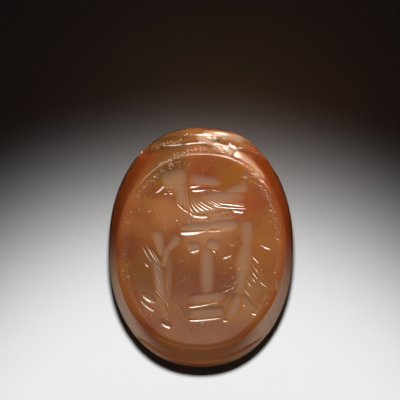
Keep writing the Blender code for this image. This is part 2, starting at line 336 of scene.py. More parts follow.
@dataclass
class StoneBlank:
    """The uncut stone, drawn out ring by ring from the middle of its face.

    Attributes:
        form: Sizes of the stone.
        segments: Corners of each ring.
        face_rings: Rings on the face.
        corner_rings: Rings on the rounded edge.
        wall_rings: Rings from the edge to the flat spot.
        edge_power: How late the face starts to close toward its rounded edge.
        wander: How far the hand-ground skin strays inward from the true form.
        wander_scale: Size of its waves.
        still_margin: Height over the flat spot within which the skin doesn't stray.
        at_middle: A corner nearer to the axis than this is the face's middle.
    """

    form: SealForm
    segments: int = 192
    face_rings: int = 20
    corner_rings: int = 8
    wall_rings: int = 84
    edge_power: int = 6
    wander: float = 0.035 * MM
    wander_scale: float = 3.6 * MM
    still_margin: float = 0.05 * MM
    at_middle: float = 0.001 * MM

    def stations(self) -> list[Point3]:
        """Size up the rings that the stone is drawn out through.

        Returns:
            Half width, half height and level of each, from the face to the flat spot.
        """
        form = self.form
        rows = []
        for ring in range(1, self.face_rings + 1):
            share = ring / self.face_rings
            rise = form.face_crown * (1.0 - share ** 2)
            rows.append((
                form.face_width / 2.0 * share - form.side_round * share ** self.edge_power,
                form.face_height / 2.0 * share - form.rim_round * share ** self.edge_power,
                form.rim_level + rise))
        first = math.acos((form.rim_level - form.rim_round) / form.hoop_radius)
        last = math.acos(-form.hoop_level / form.hoop_radius)
        for step in range(1, self.corner_rings):
            swing = math.pi / 2.0 * step / self.corner_rings
            rows.append((
                form.face_width / 2.0 - form.side_round * (1.0 - math.sin(swing)),
                form.face_height / 2.0 - form.rim_round * (1.0 - math.sin(swing)),
                form.rim_level - form.rim_round * (1.0 - math.cos(swing))))
        for ring in range(self.wall_rings + 1):
            level = form.hoop_radius * math.cos(first + (last - first) * ring / self.wall_rings)
            rows.append((form.half_width(level), form.half_height(level), level))
        return rows

    def build(self) -> bpy.types.Object:
        """Model the blank.

        Returns:
            The closed stone, before any cut.
        """
        rows = self.stations()
        wide, high, level = rows[0]
        bpy.ops.mesh.primitive_circle_add(
            vertices=self.segments, radius=1.0, fill_type="TRIFAN", location=(0.0, 0.0, 0.0))
        blank = bpy.context.active_object
        blank.name = "carved_stone"
        self.square_up(blank.data)
        bpy.ops.object.mode_set(mode="EDIT")
        bpy.ops.mesh.select_mode(type="VERT")
        bpy.ops.mesh.select_all(action="SELECT")
        bpy.ops.transform.resize(value=(wide, high, 1.0), center_override=(0.0, 0.0, 0.0))
        bpy.ops.transform.translate(value=(0.0, 0.0, level))
        bpy.ops.mesh.select_all(action="DESELECT")
        bpy.ops.mesh.select_non_manifold(extend=False, use_boundary=True)
        for before, after in zip(rows, rows[1:]):
            drop = after[2] - before[2]
            bpy.ops.mesh.extrude_edges_move(TRANSFORM_OT_translate={"value": (0.0, 0.0, drop)})
            bpy.ops.transform.resize(
                value=(after[0] / before[0], after[1] / before[1], 1.0),
                center_override=(0.0, 0.0, after[2]))
        bpy.ops.mesh.edge_face_add()
        bpy.ops.mesh.select_all(action="SELECT")
        bpy.ops.mesh.normals_make_consistent(inside=False)
        bpy.ops.object.mode_set(mode="OBJECT")
        self.settle(blank.data)
        return blank

    def square_up(self, mesh: bpy.types.Mesh) -> None:
        """Give the first ring the oval's squarer outline.

        Args:
            mesh: A disc of radius one.
        """
        for vertex in mesh.vertices:
            if vertex.co.length > 0.5:
                angle = math.atan2(vertex.co.y, vertex.co.x)
                vertex.co = self.form.outline(angle, 1.0, 1.0).to_3d()

    def settle(self, mesh: bpy.types.Mesh) -> None:
        """Lift the stone onto its flat spot, turn its sections and let its skin wander.

        Args:
            mesh: The blank's mesh, still centred on the hoop.
        """
        form = self.form
        lowest = -form.hoop_level
        for vertex in mesh.vertices:
            place = vertex.co
            if place.xy.length < self.at_middle:
                place.z = form.rim_level + form.face_crown
            turned = Matrix.Rotation(form.turn_at(place.z), 2) @ place.xy
            outward = Vector((turned.x, turned.y, place.z)).normalized()
            wave = noise.noise(Vector((turned.x, turned.y, place.z)) / self.wander_scale)
            depth = self.wander * (0.5 + 0.5 * wave)
            if place.z < lowest + self.still_margin:
                depth = 0.0
            moved = Vector((turned.x, turned.y, place.z)) - outward * depth
            vertex.co = Vector((moved.x, moved.y, moved.z + form.hoop_level))
        mesh.update()


@dataclass(frozen=True)
class Moulding:
    """Sizes of one groove or band that runs in an arch over an end of the face.

    Attributes:
        side: One over the face's top, minus one under its foot.
        reach: How far it goes to each side.
        drop: How far below the face's edge its middle lies.
        arch: How far its ends come down from its middle.
        bend: Power of the arch. More keeps the middle straight for longer.
        radius: Radius of the round bar that makes it.
        height: How far it stands out, or below nought how deep it is cut.
        run_out: Share of the height that is lost toward the ends.
        follow: How much of the face's turn a groove takes.
    """

    side: float
    reach: float
    drop: float
    arch: float
    bend: float
    radius: float
    height: float
    run_out: float
    follow: float


@dataclass
class Shoulders:
    """The wheel-cut grooves over and under the face, and what lies beside the upper one.

    Attributes:
        form: Sizes of the stone.
        upper: The groove over the face.
        lower: The groove under it.
        band: The rounded band behind the upper groove.
        crest: The band's fuller right part.
        crest_start: Where the crest starts, from minus one at the left to one.
        dent_radius: Radius of the ball that grinds the dent in the upper right side.
        dent_depth: Depth of the dent.
        dent_length: Length of the dent from front to back.
        dent_angle: Where it lies round the outline.
        facet_radius: Radius of the bar that wears the facet off the band.
        facet_depth: How deep the facet is in its middle.
        facet_tilt: How far the facet leans away from the face.
        facet_span: Where the facet starts and ends, across the stone.
        facet_run_out: Share of its depth that is lost toward its ends.
        facet_steps: Number of steps along the facet.
        probe_step: Step by which the band is searched for the facet's tilt.
        halvings: Number of halvings in the search for a point of the wall.
        fade_power: How late a moulding's height is lost toward its ends.
        sides: Corners round each bar.
        steps: Number of steps along each moulding.
    """

    form: SealForm
    upper: Moulding = Moulding(
        side=1.0, reach=6.1 * MM, drop=1.40 * MM, arch=1.57 * MM, bend=1.7,
        radius=0.85 * MM, height=-0.40 * MM, run_out=0.6, follow=0.4)
    lower: Moulding = Moulding(
        side=-1.0, reach=6.1 * MM, drop=2.53 * MM, arch=2.85 * MM, bend=2.0,
        radius=0.80 * MM, height=-0.30 * MM, run_out=0.6, follow=0.0)
    band: Moulding = Moulding(
        side=1.0, reach=4.4 * MM, drop=3.25 * MM, arch=1.15 * MM, bend=3.2,
        radius=1.20 * MM, height=0.20 * MM, run_out=4.0, follow=1.0)
    crest: Moulding = replace(band, height=0.18 * MM, run_out=1.9)
    crest_start: float = 0.2
    dent_radius: float = 2.00 * MM
    dent_depth: float = 0.30 * MM
    dent_length: float = 6.0 * MM
    dent_angle: float = math.radians(41.0)
    facet_radius: float = 2.2 * MM
    facet_depth: float = 0.07 * MM
    facet_tilt: float = math.radians(37.5)
    facet_span: Point2 = (0.2 * MM, 2.6 * MM)
    facet_run_out: float = 1.5
    facet_steps: int = 12
    probe_step: float = 0.02 * MM
    halvings: int = 40
    fade_power: int = 4
    sides: int = 48
    steps: int = 84

    def wall_point(self, x: float, y: float) -> Vector:
        """Where the upper wall passes under a place seen from over the face.

        Args:
            x: Place across the stone.
            y: Place up the stone.

        Returns:
            The point, measured from the hoop's centre.
        """
        form = self.form
        low = form.widest_level
        high = form.rim_level
        for _ in range(self.halvings):
            level = (low + high) / 2.0
            across = abs(x) / form.half_width(level)
            along = abs(y) / form.half_height(level)
            if across ** form.outline_power + along ** form.outline_power > 1.0:
                high = level
            else:
                low = level
        return Vector((x, y, level))

    def run(self, moulding: Moulding) -> list[Vector]:
        """The middle line of the round bar that cuts or makes a moulding.

        Args:
            moulding: The moulding's sizes, with a height below nought for a groove.

        Returns:
            Points measured from the hoop's centre.
        """
        form = self.form
        crown = form.half_height(form.rim_level - moulding.drop)
        points = []
        for step in range(self.steps + 1):
            share = 2.0 * step / self.steps - 1.0
            y = crown - moulding.arch * abs(share) ** moulding.bend
            point = self.wall_point(share * moulding.reach, moulding.side * y)
            height = moulding.height * (1.0 - moulding.run_out * share ** self.fade_power)
            lift = height + math.copysign(moulding.radius, -moulding.height)
            turn = -form.face_tilt * moulding.follow
            if moulding.height > 0.0:
                turn = form.turn_at(point.z)
            points.append(Matrix.Rotation(turn, 3, "Z") @ (point + point.normalized() * lift))
        return points

    def tube(self, name: str, radius: float, points: Sequence[Vector]) -> bpy.types.Object:
        """Model a closed round bar through points measured from the hoop's centre.

        Args:
            name: The bar's name.
            radius: Its radius.
            points: The points along its middle.

        Returns:
            The bar as a mesh, with its ends welded.
        """
        curve = bpy.data.curves.new(name, "CURVE")
        curve.dimensions = "3D"
        curve.bevel_depth = radius
        curve.bevel_resolution = self.sides // 2 - 2
        curve.use_fill_caps = True
        spline = curve.splines.new("POLY")
        spline.points.add(len(points) - 1)
        for knot, point in zip(spline.points, points):
            knot.co = (point.x, point.y, point.z + self.form.hoop_level, 1.0)
        item = bpy.data.objects.new(name, curve)
        bpy.context.scene.collection.objects.link(item)
        select_only(item)
        bpy.ops.object.convert(target="MESH")
        item = bpy.context.active_object
        bpy.ops.object.mode_set(mode="EDIT")
        bpy.ops.mesh.select_all(action="SELECT")
        bpy.ops.mesh.remove_doubles(threshold=WELD)
        bpy.ops.mesh.normals_make_consistent(inside=False)
        bpy.ops.object.mode_set(mode="OBJECT")
        return item

    def dent(self) -> bpy.types.Object:
        """Model the long worn dent in the upper right side, under the upper groove's end.

        Returns:
            The long ball that grinds it.
        """
        form = self.form
        wide = form.half_width(form.widest_level)
        high = form.half_height(form.widest_level)
        flatness = 2.0 - 2.0 / form.outline_power
        outward = Vector((
            math.cos(self.dent_angle) ** flatness / wide,
            math.sin(self.dent_angle) ** flatness / high)).normalized()
        place = form.outline(self.dent_angle, wide, high)
        centre = place + outward * (self.dent_radius - self.dent_depth)
        bpy.ops.mesh.primitive_uv_sphere_add(
            segments=self.sides, ring_count=self.sides, radius=self.dent_radius,
            location=(centre.x, centre.y, form.hoop_level + form.widest_level),
            scale=(1.0, 1.0, self.dent_length / 2.0 / self.dent_radius))
        item = bpy.context.active_object
        item.name = "side_dent"
        bpy.ops.object.transform_apply(location=True, rotation=True, scale=True)
        return item

    def worn_facet(self, skin: BVHTree) -> bpy.types.Object:
        """Model a large bar that grazes a worn facet off the band, at the upper right.

        Args:
            skin: The stone's surface with its grooves cut.

        Returns:
            The bar.
        """
        first, last = self.facet_span
        points = []
        for index in range(self.facet_steps + 1):
            share = index / self.facet_steps
            place, normal = self.slope_point(skin, first + (last - first) * share)
            outward = Vector((normal.x, normal.y, 0.0)).normalized()
            facing = outward * math.sin(self.facet_tilt) + UP * math.cos(self.facet_tilt)
            sink = self.facet_depth * (1.0 - self.facet_run_out * (2.0 * share - 1.0) ** 2)
            centre = place + facing * (self.facet_radius - sink)
            points.append(centre - UP * self.form.hoop_level)
        return self.tube("worn_facet", self.facet_radius, points)

    def slope_point(self, skin: BVHTree, x: float) -> tuple[Vector, Vector]:
        """Where the band leans at the facet's tilt, looking in from the outline.

        Args:
            skin: The stone's surface with its grooves cut.
            x: Place across the stone.

        Returns:
            The point and the skin's normal there.
        """
        y = self.form.hoop_radius
        while True:
            y -= self.probe_step
            place, normal, _, _ = skin.ray_cast(Vector((x, y, 2.0 * self.form.height)), -UP)
            if place is not None and normal.dot(UP) > math.cos(self.facet_tilt):
                return place, normal

    def added(self) -> list[bpy.types.Object]:
        """Model the rounded band behind the upper groove and its fuller right part.

        Returns:
            Bars to join to the stone.
        """
        crest = self.run(self.crest)[round(self.steps * (1.0 + self.crest_start) / 2.0):]
        return [
            self.tube("upper_band", self.band.radius, self.run(self.band)),
            self.tube("right_crest", self.crest.radius, crest)]

    def cutters(self) -> list[bpy.types.Object]:
        """Model both grooves and the dent.

        Returns:
            Shapes to take out of the stone.
        """
        return [
            self.tube("upper_groove", self.upper.radius, self.run(self.upper)),
            self.tube("lower_groove", self.lower.radius, self.run(self.lower)),
            self.dent()]


@dataclass
class StringHole:
    """The hole for a cord, drilled across from both sides and flared at its mouths.

    The flare starts inside the stone and ends outside it, and its lengths and its
    widening are given as shares of the flare's size.

    Attributes:
        form: Sizes of the stone.
        diameter: Width of the hole.
        flare: Size of the flare at each mouth.
        flare_inside: How far inside the stone the flare starts.
        flare_outside: How far outside it ends.
        flare_widening: How much its radius grows.
        flare_steps: Number of steps in its curve.
        drop: How far the hole lies below the hoop's centre.
        waist: Width where the two drillings meet, as a share of the hole's.
        end_margin: Within this distance a face belongs to the drill's end.
        sides: Corners round the drill.
    """

    form: SealForm
    diameter: float = 4.0 * MM
    flare: float = 0.5 * MM
    flare_inside: float = 1.5
    flare_outside: float = 1.0
    flare_widening: float = 1.5
    flare_steps: int = 4
    drop: float = 1.2 * MM
    waist: float = 0.9
    end_margin: float = 0.01 * MM
    sides: int = 64

    def build(self) -> list[bpy.types.Object]:
        """Model the drill as a bar with a waist and two flared ends.

        Returns:
            The drill.
        """
        narrow = self.diameter / 2.0
        half_run = self.form.width / 2.0 - self.flare_inside * self.flare
        centre = Vector((0.0, 0.0, self.form.hoop_level - self.drop))
        bpy.ops.mesh.primitive_cylinder_add(
            vertices=self.sides, radius=narrow, depth=2.0 * half_run, location=centre,
            rotation=(0.0, math.pi / 2.0, 0.0))
        drill = bpy.context.active_object
        drill.name = "string_hole"
        bpy.ops.object.transform_apply(location=True, rotation=True, scale=True)
        bpy.ops.object.mode_set(mode="EDIT")
        bpy.ops.mesh.select_all(action="SELECT")
        bpy.ops.mesh.bisect(plane_co=centre, plane_no=(1.0, 0.0, 0.0))
        bpy.ops.transform.resize(value=(1.0, self.waist, self.waist), center_override=centre)
        for side in (-1.0, 1.0):
            self.flare_end(drill, side, half_run, centre)
        bpy.ops.object.mode_set(mode="OBJECT")
        return [drill]

    def flare_end(
            self, drill: bpy.types.Object, side: float, half_run: float,
            centre: Vector) -> None:
        """Draw one end of the drill out into a wider mouth.

        Args:
            drill: The bar, in edit mode.
            side: One for the end at +X, minus one for the other.
            half_run: Distance of the end from the middle.
            centre: Middle of the hole.
        """
        bpy.ops.mesh.select_all(action="DESELECT")
        bpy.ops.object.mode_set(mode="OBJECT")
        for face in drill.data.polygons:
            face.select = side * face.center.x > half_run - self.end_margin
        bpy.ops.object.mode_set(mode="EDIT")
        bpy.ops.mesh.select_mode(type="FACE")
        run = (self.flare_inside + self.flare_outside) * self.flare / self.flare_steps
        radius = self.diameter / 2.0
        for step in range(1, self.flare_steps + 1):
            share = step / self.flare_steps
            wider = self.diameter / 2.0 + self.flare_widening * self.flare * share ** 2
            bpy.ops.mesh.extrude_region_move(
                TRANSFORM_OT_translate={"value": (side * run, 0.0, 0.0)})
            bpy.ops.transform.resize(
                value=(1.0, wider / radius, wider / radius), center_override=centre)
            radius = wider


@dataclass
class Engraver:
    """Copies one modelled wheel bit along each cut of the picture.

    Attributes:
        form: Sizes of the stone.
        motif_height: Height of the whole picture.
        glint_tilt: Tilt at which a cut's wall mirrors the key light to the eye.
        glint_lift: Height of the wheel's axis over the face in such a cut, in depths.
        at_tip: Squared distance from the bit's axis that counts as its tip.
        sides: Corners round the bit.
        rings: Rings along the bit.
        cuts: The cuts so far.
        bit: The round bit that each cut is a copy of.
        shape: Its corners.
    """

    form: SealForm
    motif_height: float = 13.2 * MM
    glint_tilt: float = math.radians(38.2)
    glint_lift: float = 0.15
    at_tip: float = 1.0e-8
    sides: int = 24
    rings: int = 22
    cuts: list[bpy.types.Object] = field(default_factory=list)
    bit: Optional[bpy.types.Object] = None
    shape: Optional[numpy.ndarray] = None

    @property
    def unit(self) -> float:
        """One hundredth of the picture's height."""
        return self.motif_height / 100.0

    def make_bit(self) -> None:
        """Model the bit that every cut is a copy of."""
        bpy.ops.mesh.primitive_uv_sphere_add(
            segments=self.sides, ring_count=self.rings, radius=1.0, location=(0.0, 0.0, 0.0))
        self.bit = bpy.context.active_object
        self.bit.name = "wheel_bit"
        self.shape = points_of(self.bit.data)

    def stroke(
            self, start: Point2, end: Point2, width: float, depth: float,
            tail: Optional[float] = None, plan: Plan = Plan.POINTED,
            profile: Profile = Profile.BALL, bow: float = 0.0, lift: float = 0.8) -> None:
        """Lay one boat-shaped cut on the face.

        Args:
            start: Where it starts, in picture units.
            end: Where it ends, in picture units.
            width: Its width at the start, in picture units.
            depth: Its depth, in metres.
            tail: Its width at the end, if that differs.
            plan: Its outline seen from above.
            profile: Its cross-section.
            bow: How far its middle bows out to the left of its run, as a share of its length.
            lift: Height of the wheel's axis over the face, in depths. More gives softer edges.
        """
        first = Vector(start) * self.unit
        run = Vector(end) * self.unit - first
        middle = first + run / 2.0
        last_width = width if tail is None else tail
        along = self.shape[:, 2]
        swing = numpy.arctan2(self.shape[:, 1], self.shape[:, 0])
        power = 2.0 / profile.value
        side = numpy.sign(numpy.cos(swing)) * numpy.abs(numpy.cos(swing)) ** power
        up = numpy.sign(numpy.sin(swing)) * numpy.abs(numpy.sin(swing)) ** power
        full = numpy.sqrt(numpy.maximum(1.0 - numpy.abs(along) ** plan.value, 0.0))
        full = numpy.where(1.0 - along ** 2 < self.at_tip, 0.0, full)
        share = (along + 1.0) / 2.0
        waterline = lift / (1.0 + lift)
        wider = (1.0 - waterline ** profile.value) ** (-1.0 / profile.value)
        longer = (1.0 - waterline ** 2) ** (-1.0 / plan.value)
        taper = 1.0 - share + share * last_width / width
        across = side * width * self.unit / 2.0 * wider * taper * full
        height = up * depth * (1.0 + lift) * full
        if profile is Profile.VEE:
            height = height * taper
        places = numpy.column_stack((
            -across - bow * run.length * (1.0 - along ** 2),
            along * run.length / 2.0 * longer,
            height + depth * lift))
        heading = math.atan2(run.y, run.x) - math.pi / 2.0
        tip = UP.rotation_difference(self.form.face_normal(*middle))
        place = Matrix.Translation((middle.x, middle.y, self.form.face_level(*middle)))
        matrix = numpy.array(place @ tip.to_matrix().to_4x4() @ Matrix.Rotation(heading, 4, "Z"))
        item = self.bit.copy()
        item.data = self.bit.data.copy()
        item.name = "cut_%03d" % len(self.cuts)
        lay_points(item.data, places @ matrix[:3, :3].T + matrix[:3, 3])
        self.cuts.append(item)

    def glint(self, start: Point2, end: Point2, width: float, **options: Any) -> None:
        """Lay one V-shaped cut whose lower wall leans just enough to catch the light.

        Args:
            start: Where it starts, in picture units.
            end: Where it ends, in picture units.
            width: Its width at the start, in picture units.
            options: The other values of stroke.
        """
        run = (Vector(end) - Vector(start)).normalized()
        middle = (Vector(start) + Vector(end)) * self.unit / 2.0
        uphill = Vector((-run.y, run.x, 0.0))
        if uphill.y < 0.0:
            uphill = -uphill
        lean = math.asin(self.form.face_normal(*middle).dot(uphill))
        depth = math.tan(self.glint_tilt - lean) * width * self.unit / 2.0
        self.stroke(
            start, end, width, depth, profile=Profile.VEE, lift=self.glint_lift, **options)

    def fan(
            self, first: tuple[Point2, Point2], last: tuple[Point2, Point2], count: int,
            width: float, depth: Optional[float] = None, **options: Any) -> None:
        """Lay a row of cuts that pass evenly from the first to the last.

        Args:
            first: Start and end of the first cut.
            last: Start and end of the last cut.
            count: Number of cuts.
            width: Width of each, in picture units.
            depth: Depth of each in metres, or None for cuts that catch the light.
            options: The other values of stroke.
        """
        for index in range(count):
            share = index / max(count - 1, 1)
            start, end = (
                tuple(a + (b - a) * share for a, b in zip(near, far))
                for near, far in zip(first, last))
            if depth is None:
                self.glint(start, end, width, **options)
            else:
                self.stroke(start, end, width, depth, **options)


@dataclass
class Picture:
    """The engraved picture: a bird on a stand between two branches.

    Places and widths are in picture units from the middle of the face, where the
    picture is a hundred units high. Depths are in metres.

    Attributes:
        tool: The wheel that cuts it.
        dish: Depth of a broad hollow.
        middle: Depth of a feather or a leaf.
        fine: Depth of a fine line.
        hair: Depth of a hairline or a faint hollow.
        soft_edge: Cut width of a hollow over its seen width.
        soft_end: How far a hollow is cut past its seen ends, in picture units.
    """

    tool: Engraver
    dish: float = 0.12 * MM
    middle: float = 0.13 * MM
    fine: float = 0.10 * MM
    hair: float = 0.07 * MM
    soft_edge: float = 1.22
    soft_end: float = 0.8

    def build(self) -> list[bpy.types.Object]:
        """Cut the whole picture.

        Returns:
            The cutters of all its strokes.
        """
        self.tool.make_bit()
        self.bird_head()
        self.bird_body()
        self.bird_wing()
        self.bird_tail()
        self.altar()
        self.left_branch()
        self.left_needles()
        self.right_branch()
        self.right_needles()
        bpy.data.objects.remove(self.tool.bit)
        return self.tool.cuts

    def hollow(self, start: Point2, end: Point2, width: float, tail: float,
               depth: Optional[float] = None, lift: float = 2.2) -> None:
        """Grind one wide hollow, cut past its seen edge and ends, where it fades.

        Args:
            start: Where it starts.
            end: Where it ends.
            width: Its seen width at the start.
            tail: Its seen width at the end.
            depth: Its depth, if that isn't the usual dish.
            lift: Height of the wheel's axis over the face, in depths.
        """
        ahead = (Vector(end) - Vector(start)).normalized() * self.soft_end
        self.tool.stroke(
            tuple(Vector(start) - ahead), tuple(Vector(end) + ahead), width * self.soft_edge,
            depth or self.dish, tail=tail * self.soft_edge, plan=Plan.BLUNT, lift=lift)

    def lines(self, depth: float, width: float, ends: Sequence[tuple[float, ...]],
              **options: Any) -> None:
        """Cut single strokes, each given by its start and its end."""
        for across, up, last_across, last_up in ends:
            self.tool.stroke((across, up), (last_across, last_up), width, depth, **options)

    def glints(self, width: float, ends: Sequence[tuple[float, ...]], **options: Any) -> None:
        """Cut single bright V-shaped strokes, each given by its start and its end."""
        for across, up, last_across, last_up in ends:
            self.tool.glint((across, up), (last_across, last_up), width, **options)

    def bird_head(self) -> None:
        """The broad head, the beak and the eye, which face left."""
        self.hollow((-25.0, 43.6), (-8.4, 44.6), 10.0, 13.6, lift=1.5)
        self.hollow((-13.6, 43.0), (-11.0, 30.0), 9.0, 7.0)
        self.glints(3.0, [(-28.9, 35.2, -21.8, 41.7)])
        self.glints(1.9, [(-23.4, 35.2, -20.1, 35.4), (-20.0, 35.2, -16.9, 35.4)])
        self.lines(self.fine, 1.8, [(-21.0, 36.9, -17.0, 37.2)])
        self.lines(self.fine, 2.2, [(-21.9, 39.6, -20.0, 39.8), (-18.9, 39.5, -17.4, 39.5)])

    def bird_body(self) -> None:
        """The neck feathers, the breast and the body feathers."""
        self.hollow((-7.0, 30.0), (10.0, 28.0), 8.0, 6.0, depth=self.hair)
        self.tool.fan(((-15.9, 39.0), (-14.4, 29.2)), ((-9.6, 37.6), (-7.0, 25.2)), 4,
                      2.5, self.middle, bow=0.05, plan=Plan.LEAF, profile=Profile.EDGE)
        self.glints(1.9, [
            (-14.8, 29.2, -10.6, 25.2), (-11.2, 25.6, -7.6, 23.6), (-7.0, 24.0, -4.4, 21.4)])
        self.glints(2.9, [(-5.2, 21.7, 4.8, 21.0)], plan=Plan.LEAF)
        self.tool.fan(((-7.6, 29.6), (-3.8, 22.6)), ((-2.5, 31.8), (9.2, 25.2)), 5,
                      2.3, bow=-0.04)
        self.glints(2.1, [(2.6, 31.4, 12.0, 26.4), (4.9, 31.4, 12.6, 27.4)])
        self.lines(self.hair, 2.0, [(-6.8, 21.6, -6.8, 16.0), (4.2, 21.0, 5.4, 16.0)])

    def bird_wing(self) -> None:
        """The lifted wing and the back."""
        self.hollow((-7.4, 43.8), (12.4, 42.4), 7.6, 4.6)
        self.glints(3.0, [(-7.4, 39.4, 1.6, 40.7)], tail=1.8, plan=Plan.LEAF)
        self.glints(3.2, [(-6.0, 37.2, 4.4, 37.8)], tail=2.2, plan=Plan.LEAF)
        self.lines(self.hair, 1.5, [(-0.8, 35.7, 3.0, 36.6), (4.0, 38.4, 14.0, 36.4)])
        self.tool.fan(((3.4, 36.1), (4.2, 36.9)), ((8.4, 35.9), (9.2, 36.7)), 5, 1.0)
        self.hollow((-1.0, 33.0), (29.0, 33.2), 4.6, 8.4, depth=self.fine)

    def bird_tail(self) -> None:
        """The broad tail with its squared end."""
        self.hollow((16.8, 37.4), (29.0, 39.6), 3.0, 7.4, depth=self.fine)
        self.lines(self.hair, 1.5, [(13.2, 35.9, 28.6, 35.0), (17.0, 28.9, 28.4, 29.2)])
        self.glints(1.7, [(10.4, 29.4, 27.4, 27.4), (10.8, 27.2, 28.6, 25.8)], plan=Plan.LEAF)
        self.glints(2.9, [(19.4, 25.0, 27.2, 23.7)], plan=Plan.LEAF)
        self.tool.fan(((8.2, 21.6), (9.6, 23.6)), ((17.2, 23.8), (18.8, 25.6)), 8,
                      1.0, self.fine)

    def altar(self) -> None:
        """The stand under the bird: a slab, a neck, a column and two steps."""
        self.glints(4.8, [(-13.4, 10.8, 3.6, 12.1)], tail=3.0, plan=Plan.LEAF)
        self.lines(self.fine, 3.0, [(3.4, 12.2, 14.8, 13.2)])
        self.hollow((-12.8, 13.6), (8.0, 15.4), 5.4, 4.4)
        self.hollow((6.0, 15.2), (23.6, 15.8), 5.4, 6.6)
        self.hollow((-8.0, 1.6), (-0.8, 2.4), 6.0, 5.6)
        self.glints(3.4, [(-7.0, -1.2, -0.6, 0.8)], plan=Plan.LEAF)
        self.hollow((4.4, 5.0), (11.4, 2.2), 6.6, 5.0)
        self.glints(1.8, [(7.2, 0.4, 9.6, -1.6)])
        self.hollow((3.7, 1.8), (3.8, -28.8), 8.8, 9.6, lift=1.2)
        self.lines(self.hair, 1.6, [(1.2, -2.0, 1.6, -26.0), (5.2, -6.0, 5.4, -24.0)])
        self.hollow((-8.6, -31.0), (15.8, -28.2), 7.2, 6.2)
        self.glints(3.6, [(-8.0, -35.4, 10.8, -32.4)], tail=2.0, plan=Plan.LEAF)
        self.hollow((-8.6, -39.8), (15.2, -38.2), 7.0, 6.4)
        self.glints(3.4, [(-8.0, -43.8, 14.8, -42.0)], tail=2.0, plan=Plan.LEAF)
        self.glints(3.2, [(12.8, -43.6, 17.0, -43.4)])
        self.lines(self.fine, 2.2, [(-13.4, -33.8, -9.0, -44.6)])

    def left_branch(self) -> None:
        """The branch on the left: two broad leaves on top and two at its foot."""
        self.hollow((-27.4, 12.0), (-24.2, -3.4), 8.4, 3.6)
        self.hollow((-13.6, 8.8), (-20.8, 0.0), 5.6, 4.0)
        self.hollow((-20.6, 2.6), (-23.2, -10.0), 4.6, 3.0, depth=self.middle)
        self.hollow((-29.5, -2.0), (-21.5, -38.0), 9.0, 5.5, depth=self.hair)
        self.hollow((-19.0, -4.0), (-20.0, -34.0), 4.6, 3.0, depth=self.hair)
        self.hollow((-36.6, -27.0), (-29.0, -32.0), 3.0, 3.6)
        self.glints(2.6, [(-36.4, -28.6, -29.0, -32.8), (-37.8, -31.4, -28.6, -38.2)])
        self.glints(4.2, [(-24.8, -44.8, -17.6, -48.0)], plan=Plan.LEAF)
        self.glints(2.2, [(-24.4, -43.2, -22.6, -44.4)])

    def left_needles(self) -> None:
        """The close fine lines of the left branch, which point down to its foot."""
        self.glints(1.8, [
            (-37.4, 3.8, -30.6, -7.4), (-34.8, 4.8, -25.2, -10.6), (-31.6, 2.0, -24.0, -10.0),
            (-35.2, -7.4, -32.2, -10.6), (-28.6, -24.6, -20.4, -41.6),
            (-27.6, -28.6, -20.6, -44.0), (-26.4, -22.0, -19.6, -36.0)])
        self.tool.fan(((-30.4, -6.6), (-22.6, -15.6)), ((-29.2, -25.0), (-21.0, -37.0)), 8, 1.7)
        self.tool.fan(((-18.6, -6.0), (-24.2, -14.6)), ((-17.6, -30.0), (-20.4, -41.0)), 8,
                      1.7, self.hair)
        self.lines(self.fine, 2.0, [(-24.4, -32.0, -18.8, -43.4), (-22.4, -10.0, -19.4, -32.0)])

    def right_branch(self) -> None:
        """The branch on the right: a broad trunk that widens down and two legs."""
        self.hollow((28.6, 18.4), (28.4, 2.0), 8.0, 6.6, lift=1.5)
        self.hollow((28.4, 6.0), (25.6, -14.0), 6.4, 13.6)
        self.hollow((25.4, -11.0), (24.6, -28.0), 9.0, 5.4, depth=self.fine)
        self.hollow((23.8, -27.4), (17.4, -43.6), 6.8, 6.6)
        self.hollow((26.6, -28.4), (33.0, -39.0), 3.6, 5.2)
        self.glints(3.6, [(31.0, -38.4, 35.0, -40.4)])
        self.glints(1.7, [(26.4, -33.6, 27.6, -34.8)])
        self.lines(self.hair, 1.6, [
            (17.8, 3.4, 21.4, 3.6), (21.2, 3.4, 23.4, 7.6), (23.2, 7.4, 24.8, 14.4)])

    def right_needles(self) -> None:
        """The bright strokes of the right branch, which spread down to both sides."""
        self.glints(2.0, [
            (30.8, -1.4, 36.4, -8.8), (30.4, -5.6, 36.4, -14.8), (29.8, -9.8, 36.4, -19.2),
            (29.4, -13.0, 34.2, -20.4), (27.0, -15.6, 32.2, -23.6), (24.8, -20.8, 30.8, -29.0),
            (36.0, -18.8, 42.6, -24.6)])
        self.glints(1.9, [
            (26.2, -8.4, 21.8, -13.4), (24.4, -15.2, 20.0, -21.6), (23.4, -21.8, 20.8, -26.8),
            (20.8, -14.8, 19.6, -18.0), (21.0, -22.0, 18.6, -24.0)])
        self.glints(2.6, [(36.9, 3.8, 43.9, 0.0), (13.0, -4.9, 19.4, -2.8)])
        self.glints(2.2, [(12.4, -26.3, 20.2, -23.2)], tail=1.2)


